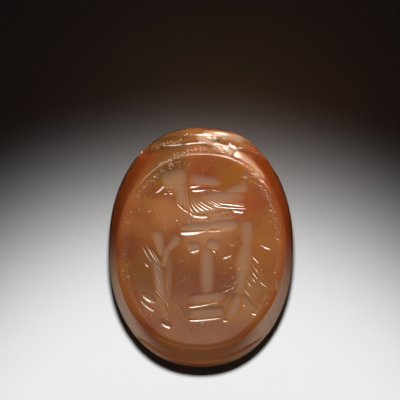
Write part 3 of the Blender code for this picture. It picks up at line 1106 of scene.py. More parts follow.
@dataclass
class Wear:
    """Chips, pits and ground-away edges that the stone has picked up in use.

    Attributes:
        form: Sizes of the stone.
        skin: Its surface before the picture and the wear.
        seed: Start of the random draws, so that each run gives the same chips.
        dice: The random draws.
        ray_start: Height from which each chip is dropped onto the skin.
        lumpiness: How far a chip's outline strays from round, as a share of its radius.
        lumps: How many lumps go to a chip's radius, roughly.
        lump_range: Size of the field of noise from which each chip takes its lumps.
        chip_depths: Least and greatest depth of a sprinkled chip, in radii.
        chip_lengths: Least and greatest length of a sprinkled chip, in widths.
        rim_inset: Distance of the rim's chips from the face's edge, in millimetres.
        rim_size: Radius of the rim's smallest chips, in millimetres.
        rim_growth: How much larger its largest chips are, in millimetres.
        rim_depths: The same as chip_depths, for the rim.
        rim_lengths: The same as chip_lengths, for the rim.
        marks: The chips so far.
        stub: The rough grain that each chip is a copy of.
        shape: Its corners.
    """

    form: SealForm
    skin: BVHTree
    seed: int = 11
    dice: random.Random = field(init=False)
    ray_start: float = 30.0 * MM
    lumpiness: float = 0.38
    lumps: float = 1.3
    lump_range: float = 9.0
    chip_depths: Point2 = (0.35, 0.7)
    chip_lengths: Point2 = (1.0, 1.8)
    rim_inset: float = 0.35
    rim_size: float = 0.05
    rim_growth: float = 0.09
    rim_depths: Point2 = (0.3, 0.6)
    rim_lengths: Point2 = (1.0, 2.2)
    marks: list[bpy.types.Object] = field(default_factory=list)
    stub: Optional[bpy.types.Object] = None
    shape: Optional[numpy.ndarray] = None

    def build(self) -> list[bpy.types.Object]:
        """Model every mark.

        Returns:
            The small cutters.
        """
        self.dice = random.Random(self.seed)
        bpy.ops.mesh.primitive_ico_sphere_add(subdivisions=2, radius=1.0, location=(0.0, 0.0, 0.0))
        self.stub = bpy.context.active_object
        self.stub.name = "grit"
        self.shape = points_of(self.stub.data)
        self.ground_band()
        self.worn_ridge()
        self.worn_rim()
        self.pitted_ground()
        self.large_chips()
        bpy.data.objects.remove(self.stub)
        return self.marks

    def mark(self, x: float, y: float, size: float, depth: float, slender: float = 1.0,
             heading: float = 0.0) -> None:
        """Sink one rough little chip into the stone, seen from over the face.

        Args:
            x: Place across the stone.
            y: Place up the stone.
            size: Radius of the chip.
            depth: How deep it goes.
            slender: Its length over its width.
            heading: Which way its length runs, in radians from +X.
        """
        place, normal, _, _ = self.skin.ray_cast(Vector((x, y, self.ray_start)), -UP)
        if place is None:
            return
        shift = Vector((
            self.dice.uniform(0.0, self.lump_range), self.dice.uniform(0.0, self.lump_range), 0.0))
        rough = numpy.array([
            1.0 + self.lumpiness * noise.noise(Vector(row) * self.lumps + shift)
            for row in self.shape])
        stretch = numpy.array((size * slender, size, size))
        places = self.shape * rough[:, None] * stretch
        turn = UP.rotation_difference(normal).to_matrix()
        turn = turn @ Matrix.Rotation(heading, 3, "Z")
        centre = place + normal * (size - depth)
        item = self.stub.copy()
        item.data = self.stub.data.copy()
        item.name = "mark_%04d" % len(self.marks)
        lay_points(item.data, places @ numpy.array(turn).T + numpy.array(centre))
        self.marks.append(item)

    def chip(self, x: float, y: float, size: float, depths: Point2, lengths: Point2) -> None:
        """Sink a chip of a drawn depth, length and heading.

        Args:
            x: Place across the stone.
            y: Place up the stone.
            size: Radius of the chip.
            depths: Its least and greatest depth, in radii.
            lengths: Its least and greatest length, in widths.
        """
        self.mark(x, y, size, size * self.dice.uniform(*depths), self.dice.uniform(*lengths),
                  self.dice.uniform(0.0, math.pi))

    def scatter(self, path: Sequence[Point2], count: int, spread: float,
                smallest: float, largest: float) -> None:
        """Sprinkle chips along a path.

        Args:
            path: Points across and up the stone, in millimetres.
            count: Number of chips.
            spread: How far they stray from the path, in millimetres.
            smallest: Radius of the smallest, in millimetres.
            largest: Radius of the largest, in millimetres.
        """
        for _ in range(count):
            leg = self.dice.randrange(len(path) - 1)
            share = self.dice.random()
            x, y = (a + (b - a) * share for a, b in zip(path[leg], path[leg + 1]))
            x += self.dice.gauss(0.0, spread)
            y += self.dice.gauss(0.0, spread)
            size = smallest + (largest - smallest) * self.dice.random() ** 2
            self.chip(x * MM, y * MM, size * MM, self.chip_depths, self.chip_lengths)

    def ground_band(self) -> None:
        """The rough band along the top, between the face and the shoulder groove."""
        self.scatter(
            [(-3.4, 7.0), (-2.0, 7.8), (-0.4, 8.25), (1.6, 8.25), (3.6, 7.2), (5.0, 5.7)],
            520, 0.11, 0.04, 0.10)

    def worn_ridge(self) -> None:
        """Chips along the ridge between the upper groove and the round band."""
        self.scatter(
            [(-4.2, 8.25), (-3.4, 8.5), (-2.2, 8.8), (-1.5, 9.0)], 70, 0.07, 0.05, 0.12)
        self.scatter([(-1.4, 9.35), (-0.7, 9.45)], 22, 0.08, 0.05, 0.10)
        self.scatter(
            [(0.4, 9.25), (1.4, 9.2), (3.1, 8.6), (4.6, 7.9), (5.3, 7.5)], 60, 0.05, 0.04, 0.09)

    def worn_rim(self) -> None:
        """Chips along the face's edge, at the upper left and down the right."""
        # Start and end in degrees from +X, number of chips, and spread in millimetres.
        runs = ((108.0, 150.0, 110, 0.22), (58.0, 8.0, 150, 0.20), (150.0, 215.0, 40, 0.3),
                (8.0, -40.0, 30, 0.25))
        for start, end, count, spread in runs:
            for _ in range(count):
                angle = math.radians(start + (end - start) * self.dice.random())
                inset = (self.rim_inset + abs(self.dice.gauss(0.0, spread))) * MM
                point = self.form.rim_point(angle, inset)
                size = (self.rim_size + self.rim_growth * self.dice.random() ** 2) * MM
                self.chip(point.x, point.y, size, self.rim_depths, self.rim_lengths)

    def pitted_ground(self) -> None:
        """Specks beside the column, by the branches, under the stand and in the margins."""
        # Between the strokes.
        for path, count, spread in (
                ([(-1.7, -0.8), (-1.5, -3.0)], 90, 0.38),
                ([(2.1, -0.6), (1.9, -3.2)], 80, 0.35),
                ([(-0.8, -6.1), (1.2, -6.0)], 60, 0.28),
                ([(-4.0, 3.2), (-2.6, 1.8), (-2.4, 0.2)], 36, 0.5),
                ([(-1.2, 7.0), (2.2, 6.9)], 24, 0.3),
                ([(-4.3, -5.4), (-3.4, -5.8)], 26, 0.4),
                ([(1.4, 2.9), (2.9, 2.9)], 34, 0.18),
                ([(4.6, 2.2), (5.4, -1.5)], 34, 0.5)):
            self.scatter(path, count, spread, 0.04, 0.085)
        # Finer ones down the left and right margins and over the bird.
        for path, count, spread in (
                ([(-4.6, 5.6), (-5.8, 2.6), (-6.1, -0.6), (-5.4, -3.8), (-4.4, -5.6)], 230, 0.42),
                ([(4.9, 5.2), (5.9, 2.4), (6.1, -0.6), (5.4, -3.6)], 210, 0.38),
                ([(-2.4, 6.9), (0.2, 7.5), (2.8, 6.9)], 60, 0.26)):
            self.scatter(path, count, spread, 0.03, 0.07)

    def large_chips(self) -> None:
        """The rounded chip at the upper right and the crescent at the right edge."""
        # Place, radius and depth in millimetres, length over width, heading in radians.
        for x, y, size, depth, slender, heading in (
                (3.72, 6.22, 0.40, 0.16, 1.15, math.radians(100.0)),
                (6.30, -2.85, 0.24, 0.16, 3.4, math.radians(96.0)),
                (4.35, 6.35, 0.26, 0.13, 1.3, 0.4),
                (4.95, 5.75, 0.24, 0.12, 1.5, 2.2)):
            self.mark(x * MM, y * MM, size * MM, depth * MM, slender, heading)


@dataclass(frozen=True)
class CloudOrPaintedLight:
    """A soft patch of colour seen from over the face, in millimetres; most are clouds in the stone,
    a few are painted shade or painted light.

    Attributes:
        x: Place across the stone.
        y: Place up the stone.
        radius: Its rough size.
        colour: Its colour as sRGB hex.
        strength: How fully it covers the stone's own colour.
    """

    x: float
    y: float
    radius: float
    colour: str
    strength: float = 0.8


@dataclass(frozen=True)
class PolishedCarnelian:
    """Carnelian, a red-brown chalcedony, polished by hand and worn to a waxy gloss.

    Light sinks in and comes back amber, clouds of paler and violet-brown stone lie
    under the skin, and the wheel cuts are ground matt and look paler and pinker.
    Darker patches over the top and the darker upper sides are painted shade, and a
    paler patch over the foot is painted light.
    The clouds are as large as in real stone. The grain of the cuts is drawn coarser
    than real, so that it shows at the picture's size.

    Attributes:
        amber: The stone's middle colour, as sRGB hex like all that follow.
        honey: Its palest clouds.
        rust: Its darkest clouds.
        side_shade: Painted shade on the upper sides, as a darker colour.
        ground: The powdery floor of a deep cut.
        clouds_and_painted_light: Patches at certain places that the photo shows: mostly clouds in
            the stone, with painted shade over the top and painted light over the foot.
        half_width: Half the stone's width, for the painted side shade.
        half_height: Half its height, for the painted side shade.
        ior: How strongly the polish bends light.
        gloss: Roughness of the polish.
        matt: Roughness of a cut's floor.
        sink: How far red light goes under the skin.
        sink_shares: How far red, green and blue go, as shares of that.
        cloud: Size of the clouds.
        cloud_detail: How many finer clouds lie in them.
        cloud_roughness: How strong the finer clouds are.
        cloud_distortion: How far they swirl.
        stray: How far the patches' outlines stray from round.
        patch_edges: Where a patch starts and is full, in its radii.
        side_shade_out: Where the painted side shade starts and is full, outward from the middle.
        side_shade_above: The same, up the stone.
        side_shade_below: The same, down from the top.
        grain: Size of the grain.
        grain_detail: How many finer grains lie in it.
        grain_relief: How much it shows in the polish and in a cut.
        grain_height: How high it stands.
    """

    amber: str = "#86532d"
    honey: str = "#8d6236"
    rust: str = "#794128"
    # Painted shade: a darker colour laid over the upper sides.
    side_shade: str = "#6e300c"
    ground: str = "#9a7860"
    clouds_and_painted_light: tuple[CloudOrPaintedLight, ...] = (
        CloudOrPaintedLight(0.3, 6.5, 1.2, "#7e3a1e", 0.6),
        CloudOrPaintedLight(-2.7, 2.9, 1.3, "#a2724a", 0.6),
        CloudOrPaintedLight(2.6, 6.0, 1.3, "#86521e"),
        CloudOrPaintedLight(3.6, 3.9, 1.2, "#8c4424"),
        CloudOrPaintedLight(-4.3, 5.4, 1.5, "#764824"),
        # Painted shade: a darker patch over the upper left corner of the face.
        CloudOrPaintedLight(-2.8, 7.2, 1.5, "#62431f"),
        CloudOrPaintedLight(-3.9, -1.8, 2.2, "#6e4826"),
        CloudOrPaintedLight(-1.0, -2.6, 1.9, "#74452c"),
        CloudOrPaintedLight(1.8, -2.6, 1.8, "#70422c"),
        CloudOrPaintedLight(0.6, 2.4, 2.2, "#9e765a"),
        CloudOrPaintedLight(5.2, 0.6, 1.8, "#8e5a2e"),
        CloudOrPaintedLight(0.4, -6.6, 2.2, "#744c30"),
        CloudOrPaintedLight(-5.8, 0.2, 1.2, "#6c3a20"),
        # Painted shade: darker patches over the upper groove and the band behind it.
        CloudOrPaintedLight(-2.4, 8.8, 1.8, "#573a1a"),
        CloudOrPaintedLight(1.6, 9.0, 2.0, "#5e3c1e"),
        # Painted light: a paler patch over the foot, standing in for the pale veil of reflected
        # light on the lower face.
        CloudOrPaintedLight(0.0, -8.8, 2.6, "#8a5a3a"))
    half_width: float = 7.65 * MM
    half_height: float = 10.0 * MM
    ior: float = 1.54
    gloss: float = 0.13
    matt: float = 0.20
    sink: float = 3.0 * MM
    sink_shares: Point3 = (1.0, 0.42, 0.18)
    cloud: float = 4.5 * MM
    cloud_detail: float = 3.0
    cloud_roughness: float = 0.55
    cloud_distortion: float = 0.6
    stray: float = 3.0 * MM
    patch_edges: Point2 = (1.5, 0.4)
    side_shade_out: Point2 = (0.84, 0.95)
    side_shade_above: Point2 = (-0.35, 0.15)
    side_shade_below: Point2 = (0.86, 0.70)
    grain: float = 0.09 * MM
    grain_detail: float = 2.0
    grain_relief: Point2 = (0.04, 0.3)
    grain_height: float = 0.02 * MM

    def make(self) -> bpy.types.Material:
        """Build the material.

        Returns:
            Polished carnelian with ground cuts, led by the piece's own attribute.
        """
        stone = bpy.data.materials.new("polished_carnelian")
        stone.use_nodes = True
        tree = stone.node_tree
        tree.nodes.clear()
        where = add_node(tree, "ShaderNodeTexCoord").outputs["Object"]
        cut = add_node(tree, "ShaderNodeAttribute", {"attribute_name": "ground"}).outputs["Fac"]
        frost = self.blend(tree, cut, self.clouds(tree, where), linear(self.ground))
        rough = add_node(
            tree, "ShaderNodeMapRange", {},
            {"Value": cut, "To Min": self.gloss, "To Max": self.matt}).outputs["Result"]
        shader = add_node(tree, "ShaderNodeBsdfPrincipled", {}, {
            "Base Color": frost, "Roughness": rough, "IOR": self.ior,
            "Subsurface Weight": 1.0, "Subsurface Radius": self.sink_shares,
            "Subsurface Scale": self.sink, "Normal": self.relief(tree, where, cut)})
        add_node(tree, "ShaderNodeOutputMaterial", {}, {"Surface": shader.outputs["BSDF"]})
        return stone

    def clouds(self, tree: bpy.types.NodeTree, where: bpy.types.NodeSocket) -> bpy.types.NodeSocket:
        """The stone's own colour in soft clouds, with painted shade and painted light laid over it
        in patches and on the upper sides.

        Args:
            tree: The material's node tree.
            where: Object coordinates.

        Returns:
            The colour before the cuts are made paler.
        """
        drift = add_node(tree, "ShaderNodeTexNoise", {}, {
            "Vector": where, "Scale": 1.0 / self.cloud, "Detail": self.cloud_detail,
            "Roughness": self.cloud_roughness, "Distortion": self.cloud_distortion})
        ramp = add_node(tree, "ShaderNodeValToRGB", {}, {"Fac": drift.outputs["Fac"]})
        # Place of each colour in the clouds' range from nought to one.
        stops = ((0.34, self.rust), (0.50, self.amber), (0.68, self.honey))
        while len(ramp.color_ramp.elements) < len(stops):
            ramp.color_ramp.elements.new(0.5)
        for element, (place, code) in zip(ramp.color_ramp.elements, stops):
            element.position = place
            element.color = linear(code)
        colour = ramp.outputs["Color"]
        strayed = add_node(
            tree, "ShaderNodeVectorMath", {"operation": "MULTIPLY_ADD"},
            {0: drift.outputs["Color"], 1: (self.stray,) * 3, 2: where}).outputs["Vector"]
        centred = add_node(
            tree, "ShaderNodeVectorMath", {"operation": "SUBTRACT"},
            {0: strayed, 1: (self.stray / 2.0,) * 3}).outputs["Vector"]
        # Most patches are clouds in the stone; those over the top are painted shade and the one at
        # the foot is painted light.
        for patch in self.clouds_and_painted_light:
            flat = add_node(
                tree, "ShaderNodeVectorMath", {"operation": "MULTIPLY"},
                {0: centred, 1: (1.0, 1.0, 0.0)}).outputs["Vector"]
            away = add_node(
                tree, "ShaderNodeVectorMath", {"operation": "DISTANCE"},
                {0: flat, 1: (patch.x * MM, patch.y * MM, 0.0)}).outputs["Value"]
            edges = (reach * patch.radius * MM for reach in self.patch_edges)
            share = self.fade(tree, away, *edges, patch.strength)
            colour = self.blend(tree, share, colour, linear(patch.colour))
        # Painted shade: the upper sides darkened toward the outline.
        return self.blend(tree, self.side_shade_share(tree, where), colour, linear(self.side_shade))

    def side_shade_share(
            self, tree: bpy.types.NodeTree, where: bpy.types.NodeSocket) -> bpy.types.NodeSocket:
        """How far a place takes the painted shade of the upper sides.

        Args:
            tree: The material's node tree.
            where: Object coordinates.

        Returns:
            From nought on the face to one on the sides.
        """
        scaled = add_node(
            tree, "ShaderNodeVectorMath", {"operation": "MULTIPLY"},
            {0: where, 1: (1.0 / self.half_width, 1.0 / self.half_height, 0.0)}).outputs["Vector"]
        out = add_node(
            tree, "ShaderNodeVectorMath", {"operation": "LENGTH"}, {0: scaled}).outputs["Value"]
        up = add_node(tree, "ShaderNodeSeparateXYZ", {}, {0: scaled}).outputs["Y"]
        side = self.fade(tree, out, *self.side_shade_out, 1.0)
        above = self.fade(tree, up, *self.side_shade_above, 1.0)
        below = self.fade(tree, up, *self.side_shade_below, 1.0)
        product = add_node(tree, "ShaderNodeMath", {"operation": "MULTIPLY"}, {0: side, 1: above})
        return add_node(
            tree, "ShaderNodeMath", {"operation": "MULTIPLY"},
            {0: product.outputs["Value"], 1: below}).outputs["Value"]

    def fade(
            self, tree: bpy.types.NodeTree, value: bpy.types.NodeSocket, start: float,
            end: float, strength: float) -> bpy.types.NodeSocket:
        """A smooth rise from nought at one value to a strength at another."""
        return add_node(
            tree, "ShaderNodeMapRange", {"interpolation_type": "SMOOTHSTEP"},
            {"Value": value, "From Min": start, "From Max": end, "To Min": 0.0,
             "To Max": strength}).outputs["Result"]

    def blend(
            self, tree: bpy.types.NodeTree, share: bpy.types.NodeSocket,
            base: bpy.types.NodeSocket, colour: Colour) -> bpy.types.NodeSocket:
        """Mix a flat colour over another by a share."""
        return add_node(
            tree, "ShaderNodeMix", {"data_type": "RGBA"}, {0: share, 6: base, 7: colour}).outputs[2]

    def relief(
            self, tree: bpy.types.NodeTree, where: bpy.types.NodeSocket,
            cut: bpy.types.NodeSocket) -> bpy.types.NodeSocket:
        """Fine grain in the cuts and a faint wave in the polish.

        Args:
            tree: The material's node tree.
            where: Object coordinates.
            cut: How far a place is ground, from nought to one.

        Returns:
            The bumped normal.
        """
        grit = add_node(tree, "ShaderNodeTexNoise", {}, {
            "Vector": where, "Scale": 1.0 / self.grain,
            "Detail": self.grain_detail}).outputs["Fac"]
        least, most = self.grain_relief
        strength = add_node(
            tree, "ShaderNodeMapRange", {},
            {"Value": cut, "To Min": least, "To Max": most}).outputs["Result"]
        return add_node(tree, "ShaderNodeBump", {}, {
            "Height": grit, "Strength": strength,
            "Distance": self.grain_height}).outputs["Normal"]


@dataclass(frozen=True)
class MattPaper:
    """Plain grey paper with no shine, which the pool of light makes look almost white."""

    colour: str = "#a6a6a6"
    roughness: float = 0.75

    def make(self) -> bpy.types.Material:
        """Build the material.

        Returns:
            Plain matt paper.
        """
        paper = bpy.data.materials.new("pale_matt_paper")
        paper.use_nodes = True
        shader = paper.node_tree.nodes["Principled BSDF"]
        shader.inputs["Base Color"].default_value = linear(self.colour)
        shader.inputs["Roughness"].default_value = self.roughness
        return paper


@dataclass
class CarvedStone:
    """The whole seal: blank, grooves, hole, picture and wear, dressed in one finish.

    Attributes:
        form: Sizes of the stone.
        finish: Its material.
        crease: Edges sharper than this stay sharp.
        frost_depth: How deep a cut has to be to look fully ground.
        cut_floor: A face this far under the polished skin belongs to a cut.
        rubbed_and_highlight_strips: Lines in millimetres along which the polish is rubbed off and
            the stone made paler; along the crest the paler colour is a painted highlight.
        rub_and_highlight_width: How far the rubbing reaches to each side.
        rub_and_highlight_rise: How steeply the rubbing grows toward its middle.
    """

    form: SealForm
    finish: PolishedCarnelian
    crease: float = math.radians(28.0)
    frost_depth: float = 0.14 * MM
    cut_floor: float = 0.004 * MM
    rubbed_and_highlight_strips: tuple[tuple[Point2, ...], ...] = (
        # Worn matt ridge beside the right half of the upper groove.
        ((-0.1, 9.20), (0.9, 8.80), (1.7, 8.40), (2.9, 7.90), (4.1, 7.15), (5.0, 6.00)),
        # Along the crest: matt, and paler as a painted highlight.
        ((0.4, 9.48), (1.4, 9.44), (2.4, 9.26), (3.3, 8.98)))
    rub_and_highlight_width: float = 0.34 * MM
    rub_and_highlight_rise: float = 1.6

    def build(self) -> bpy.types.Object:
        """Model and dress the stone.

        Returns:
            The finished piece.
        """
        stone = StoneBlank(self.form).build()
        shoulders = Shoulders(self.form)
        self.carve(stone, "UNION", shoulders.added())
        self.carve(stone, "DIFFERENCE", shoulders.cutters())
        self.carve(stone, "DIFFERENCE", [shoulders.worn_facet(surface_tree(stone.data))])
        skin = surface_tree(stone.data)
        cutters = StringHole(self.form).build()
        cutters += Picture(Engraver(self.form)).build()
        cutters += Wear(self.form, skin).build()
        log.info("carved_stone: %d cuts and marks", len(cutters))
        self.carve(stone, "DIFFERENCE", cutters)
        self.mark_ground(stone, skin)
        self.dress(stone)
        return stone

    def carve(
            self, stone: bpy.types.Object, operation: str,
            shapes: Iterable[bpy.types.Object]) -> None:
        """Join shapes to the stone or take them out of it, and delete them.

        Args:
            stone: The stone so far.
            operation: UNION or DIFFERENCE.
            shapes: Closed shapes.
        """
        tools = bpy.data.collections.new("tools")
        bpy.context.scene.collection.children.link(tools)
        for shape in shapes:
            for home in shape.users_collection:
                home.objects.unlink(shape)
            tools.objects.link(shape)
        modifier = stone.modifiers.new("tools", "BOOLEAN")
        modifier.operation = operation
        modifier.solver = "MANIFOLD"
        modifier.operand_type = "COLLECTION"
        modifier.collection = tools
        select_only(stone)
        bpy.ops.object.modifier_apply(modifier=modifier.name)
        for shape in list(tools.objects):
            bpy.data.meshes.remove(shape.data)
        bpy.data.collections.remove(tools)

    def mark_ground(self, stone: bpy.types.Object, skin: BVHTree) -> None:
        """Store how deep below the polished skin each corner of a cut lies.

        Args:
            stone: The carved stone.
            skin: The uncut stone's surface.
        """
        mesh = stone.data
        depths = [skin.find_nearest(vertex.co)[3] for vertex in mesh.vertices]
        values = []
        for face in mesh.polygons:
            middle = skin.find_nearest(face.center)[3]
            inside = middle > self.cut_floor
            for vertex in face.vertices:
                share = min(depths[vertex] / self.frost_depth, 1.0)
                values.append(share if inside else 0.0)
        # The rubbed strips are also made paler; on the crest that is a painted highlight.
        self.rub_and_paint_highlight(mesh, values)
        layer = mesh.attributes.new("ground", "FLOAT", "CORNER")
        layer.data.foreach_set("value", values)

    def rub_and_paint_highlight(self, mesh: bpy.types.Mesh, values: list[float]) -> None:
        """Make the strips beside the right half of the upper groove and along the crest matt and
        paler; on the crest the paler colour is a painted highlight.

        Args:
            mesh: The carved stone's mesh.
            values: How far each face corner is ground, which this raises.
        """
        legs = [
            (Vector(start) * MM, Vector(end) * MM)
            for strip in self.rubbed_and_highlight_strips for start, end in zip(strip, strip[1:])]
        lowest = min(end.y for _, end in legs) - self.rub_and_highlight_width
        for index, loop in enumerate(mesh.loops):
            place = mesh.vertices[loop.vertex_index].co
            if place.y < lowest or place.z < self.form.hoop_level:
                continue
            nearest = min(segment_distance(place.xy, *leg) for leg in legs)
            share = 1.0 - nearest / self.rub_and_highlight_width
            values[index] = max(values[index], min(1.0, self.rub_and_highlight_rise * share))

    def dress(self, stone: bpy.types.Object) -> None:
        """Shade the stone, give it its finish, hang it on its body and hide the plain solid.

        Args:
            stone: The carved stone.
        """
        stone.data.materials.clear()
        stone.data.materials.append(self.finish.make())
        select_only(stone)
        bpy.ops.object.shade_smooth_by_angle(angle=self.crease)
        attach(stone, "root")
        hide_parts("seal")
        triangles = sum(len(face.vertices) - 2 for face in stone.data.polygons)
        log.info("carved_stone: %d triangles", triangles)


@dataclass(frozen=True)
class Panel:
    """A soft rectangular light that shines on the stone only.

    Attributes:
        name: The light's name.
        direction: Where it stands, seen from the stone.
        distance: How far away.
        size: Its width and height.
        power: Its power in watts.
        colour: Its colour as sRGB hex.
        mirrored: Whether the polish mirrors it.
    """

    name: str
    direction: Point3
    distance: float
    size: Point2
    power: float
    colour: str = "#fff6ec"
    mirrored: bool = True


@dataclass(frozen=True)
class Card:
    """A softly edged glowing disc beside the stone that only its polish mirrors.

    Attributes:
        name: The card's name.
        place: Its middle.
        radius: Where its glow ends.
        shine: How strongly its middle glows.
        colour: The glow's colour as sRGB hex.
        raised: Angle by which it is raised from lying flat.
    """

    name: str
    place: Point3
    radius: float
    shine: float
    colour: str
    raised: float = 0.0

    def make_glow(self) -> bpy.types.Material:
        """Build the card's material, a glow that fades from its middle to its edge.

        Returns:
            The material.
        """
        glow = bpy.data.materials.new(self.name)
        glow.use_nodes = True
        tree = glow.node_tree
        tree.nodes.clear()
        where = add_node(tree, "ShaderNodeTexCoord").outputs["Object"]
        away = add_node(tree, "ShaderNodeVectorMath", {"operation": "LENGTH"}, {0: where})
        strength = add_node(
            tree, "ShaderNodeMapRange", {"interpolation_type": "SMOOTHSTEP"},
            {"Value": away.outputs["Value"], "From Min": self.radius, "From Max": 0.0,
             "To Min": 0.0, "To Max": self.shine}).outputs["Result"]
        lamp = add_node(tree, "ShaderNodeEmission", {}, {
            "Color": linear(self.colour), "Strength": strength})
        add_node(tree, "ShaderNodeOutputMaterial", {}, {"Surface": lamp.outputs["Emission"]})
        return glow


@dataclass
class Studio:
    """A plain pale floor, soft light and the camera over the stone.

    Attributes:
        form: Sizes of the stone.
        paper: Material of the floor.
        panels: The lights on the stone.
        cards: The glowing cards that its polish mirrors.
        floor_size: Width of the floor.
        surround: Colour of the faint light from all round.
        surround_strength: Its strength.
        frame_width: Width of the picture at the distance of the stone.
        camera_distance: How far away the camera stands.
        camera_lean: How far it leans back from straight above.
        aim: What it looks at.
        sensor: Width of its sensor in millimetres.
        clip: Nearest and farthest distance that it sees.
        pool_power: Power in watts of the pool of light on the floor.
        pool_blend: Share of the pool that is its soft edge.
        pool_radius: Radius of the pool.
        pool_distance: How far away its lamp stands.
        pool_lamp: Radius of its lamp.
        pool_lean: How far its lamp leans up the picture, as a slope.
        pool_middle: Middle of the pool.
        stone: The stone that the panels and the cards light.
        sheet: The floor.
    """

    form: SealForm
    paper: MattPaper = MattPaper()
    panels: tuple[Panel, ...] = (
        Panel("key", (0.20, 1.0, 0.28), 0.34, (0.30, 0.05), 1.80),
        Panel("right_wing", (1.07, 1.0, 0.40), 0.34, (0.16, 0.04), 0.40),
        Panel("left_wing", (-0.73, 1.0, 0.34), 0.34, (0.20, 0.04), 0.50),
        Panel("haze", (0.0, -0.30, 1.0), 0.30, (0.16, 0.10), 0.036, "#eef2ff"),
        Panel("left", (-0.8, 0.1, 1.0), 0.35, (0.36, 0.30), 0.53, "#fff8f0", mirrored=False),
        Panel("right", (0.8, 0.1, 1.0), 0.35, (0.36, 0.30), 0.53, "#fff8f0", mirrored=False),
        Panel("front", (0.0, -0.8, 1.0), 0.35, (0.36, 0.30), 0.53, "#fff8f0", mirrored=False))
    cards: tuple[Card, ...] = (
        Card("left_card", (-17.5 * MM, -13.5 * MM, 0.5 * MM), 17.0 * MM, 1.15, "#d8c8b8"),
        Card("right_card", (17.5 * MM, -14.2 * MM, 0.5 * MM), 17.0 * MM, 1.15, "#d8c8b8"),
        Card("crest_card", (8.8 * MM, 26.0 * MM, 7.0 * MM), 6.0 * MM, 30.0, "#fff6ec",
             raised=math.radians(90.0)))
    floor_size: float = 1.6
    surround: str = "#c4c8cc"
    surround_strength: float = 0.015
    frame_width: float = 33.2 * MM
    camera_distance: float = 0.60
    camera_lean: float = math.radians(2.0)
    aim: Vector = field(default_factory=lambda: Vector((-0.08 * MM, 3.9 * MM, 9.8 * MM)))
    sensor: float = 36.0
    clip: Point2 = (0.01, 5.0)
    pool_power: float = 10.0
    pool_blend: float = 0.60
    pool_radius: float = 35.0 * MM
    pool_distance: float = 0.35
    pool_lamp: float = 6.0 * MM
    pool_lean: float = 0.18
    pool_middle: Vector = field(default_factory=lambda: Vector((0.0, -26.0 * MM, 0.0)))
    stone: Optional[bpy.types.Object] = None
    sheet: Optional[bpy.types.Object] = None

    def build(self) -> None:
        """Set up everything round the object."""
        self.floor()
        self.world()
        for panel in self.panels:
            self.light(panel)
        for card in self.cards:
            self.card(card)
        self.floor_light()
        self.camera()

    def floor(self) -> None:
        """A wide sheet of paper."""
        bpy.ops.mesh.primitive_plane_add(size=self.floor_size, location=(0.0, 0.0, 0.0))
        sheet = bpy.context.active_object
        sheet.name = "floor"
        sheet.data.materials.append(self.paper.make())
        sheet.visible_glossy = False
        self.sheet = sheet
        log.info("floor: %.1f m wide", self.floor_size)

    def world(self) -> None:
        """A faint, even surround, which keeps the shadows from being black."""
        world = bpy.data.worlds.new("studio")
        bpy.context.scene.world = world
        world.use_nodes = True
        back = world.node_tree.nodes["Background"]
        back.inputs["Color"].default_value = linear(self.surround)
        back.inputs["Strength"].default_value = self.surround_strength

    def light(self, panel: Panel) -> None:
        """Add one soft panel that lights the stone only.

        Args:
            panel: The panel's sizes and place.
        """
        lamp = bpy.data.lights.new(panel.name, "AREA")
        lamp.shape = "RECTANGLE"
        lamp.size, lamp.size_y = panel.size
        lamp.energy = panel.power
        lamp.color = linear(panel.colour)[:3]
        item = bpy.data.objects.new(panel.name, lamp)
        bpy.context.scene.collection.objects.link(item)
        direction = Vector(panel.direction)
        target = Vector((0.0, 0.0, self.form.hoop_level))
        item.location = target + direction.normalized() * panel.distance
        item.rotation_euler = (-direction).to_track_quat("-Z", "Y").to_euler()
        item.visible_camera = False
        item.visible_glossy = panel.mirrored
        self.light_only(item, self.stone)
        log.info("%s: %.3f W", panel.name, panel.power)

    def light_only(self, item: bpy.types.Object, lit: bpy.types.Object) -> None:
        """Let a light shine on one thing and pass by all others.

        Args:
            item: The light or glowing card.
            lit: What it lights.
        """
        group = bpy.data.collections.new(item.name + "_lights")
        group.objects.link(lit)
        item.light_linking.receiver_collection = group

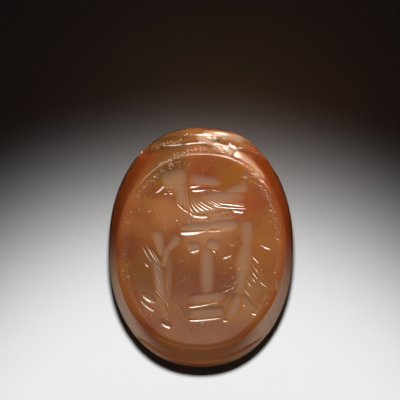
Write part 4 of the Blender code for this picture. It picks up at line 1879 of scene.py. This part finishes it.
    def card(self, card: Card) -> None:
        """Lay or stand one glowing card beside the stone.

        Args:
            card: The card's sizes and place.
        """
        bpy.ops.mesh.primitive_plane_add(size=2.0 * card.radius, location=card.place)
        item = bpy.context.active_object
        item.name = card.name
        item.data.materials.append(card.make_glow())
        item.visible_camera = False
        item.visible_diffuse = False
        item.visible_shadow = False
        self.light_only(item, self.stone)
        item.rotation_euler = (card.raised, 0.0, 0.0)
        log.info("%s: %.1f mm radius", card.name, card.radius / MM)

    def floor_light(self) -> None:
        """A soft-edged pool of light on the floor in front of the stone."""
        lamp = bpy.data.lights.new("floor_light", "SPOT")
        lamp.energy = self.pool_power
        lamp.shadow_soft_size = self.pool_lamp
        lamp.spot_size = 2.0 * math.atan(self.pool_radius / self.pool_distance)
        lamp.spot_blend = self.pool_blend
        item = bpy.data.objects.new("floor_light", lamp)
        bpy.context.scene.collection.objects.link(item)
        direction = Vector((0.0, self.pool_lean, 1.0)).normalized()
        item.location = self.pool_middle + direction * self.pool_distance
        item.rotation_euler = (-direction).to_track_quat("-Z", "Y").to_euler()
        self.light_only(item, self.sheet)
        log.info("floor_light: %.1f W", self.pool_power)

    def camera(self) -> None:
        """A long lens over the stone, with the top of the picture up."""
        data = bpy.data.cameras.new("camera")
        data.sensor_width = self.sensor
        data.lens = self.sensor * self.camera_distance / self.frame_width
        data.clip_start, data.clip_end = self.clip
        item = bpy.data.objects.new("camera", data)
        bpy.context.scene.collection.objects.link(item)
        back = Vector((0.0, math.sin(self.camera_lean), math.cos(self.camera_lean)))
        item.location = self.aim + back * self.camera_distance
        across = Vector((1.0, 0.0, 0.0))
        item.rotation_euler = Matrix((across, back.cross(across), back)).transposed().to_euler()
        bpy.context.scene.camera = item
        log.info("camera: %.0f mm lens", data.lens)


def main() -> None:
    """Build the stone and the studio round it."""
    bpy.ops.object.select_all(action="DESELECT")
    low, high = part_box("seal")
    form = SealForm(width=high.x - low.x, height=high.y - low.y)
    stone = CarvedStone(form, PolishedCarnelian()).build()
    Studio(form, stone=stone).build()
    bpy.context.scene.view_settings.view_transform = "Standard"


if __name__ == "__main__":
    main()
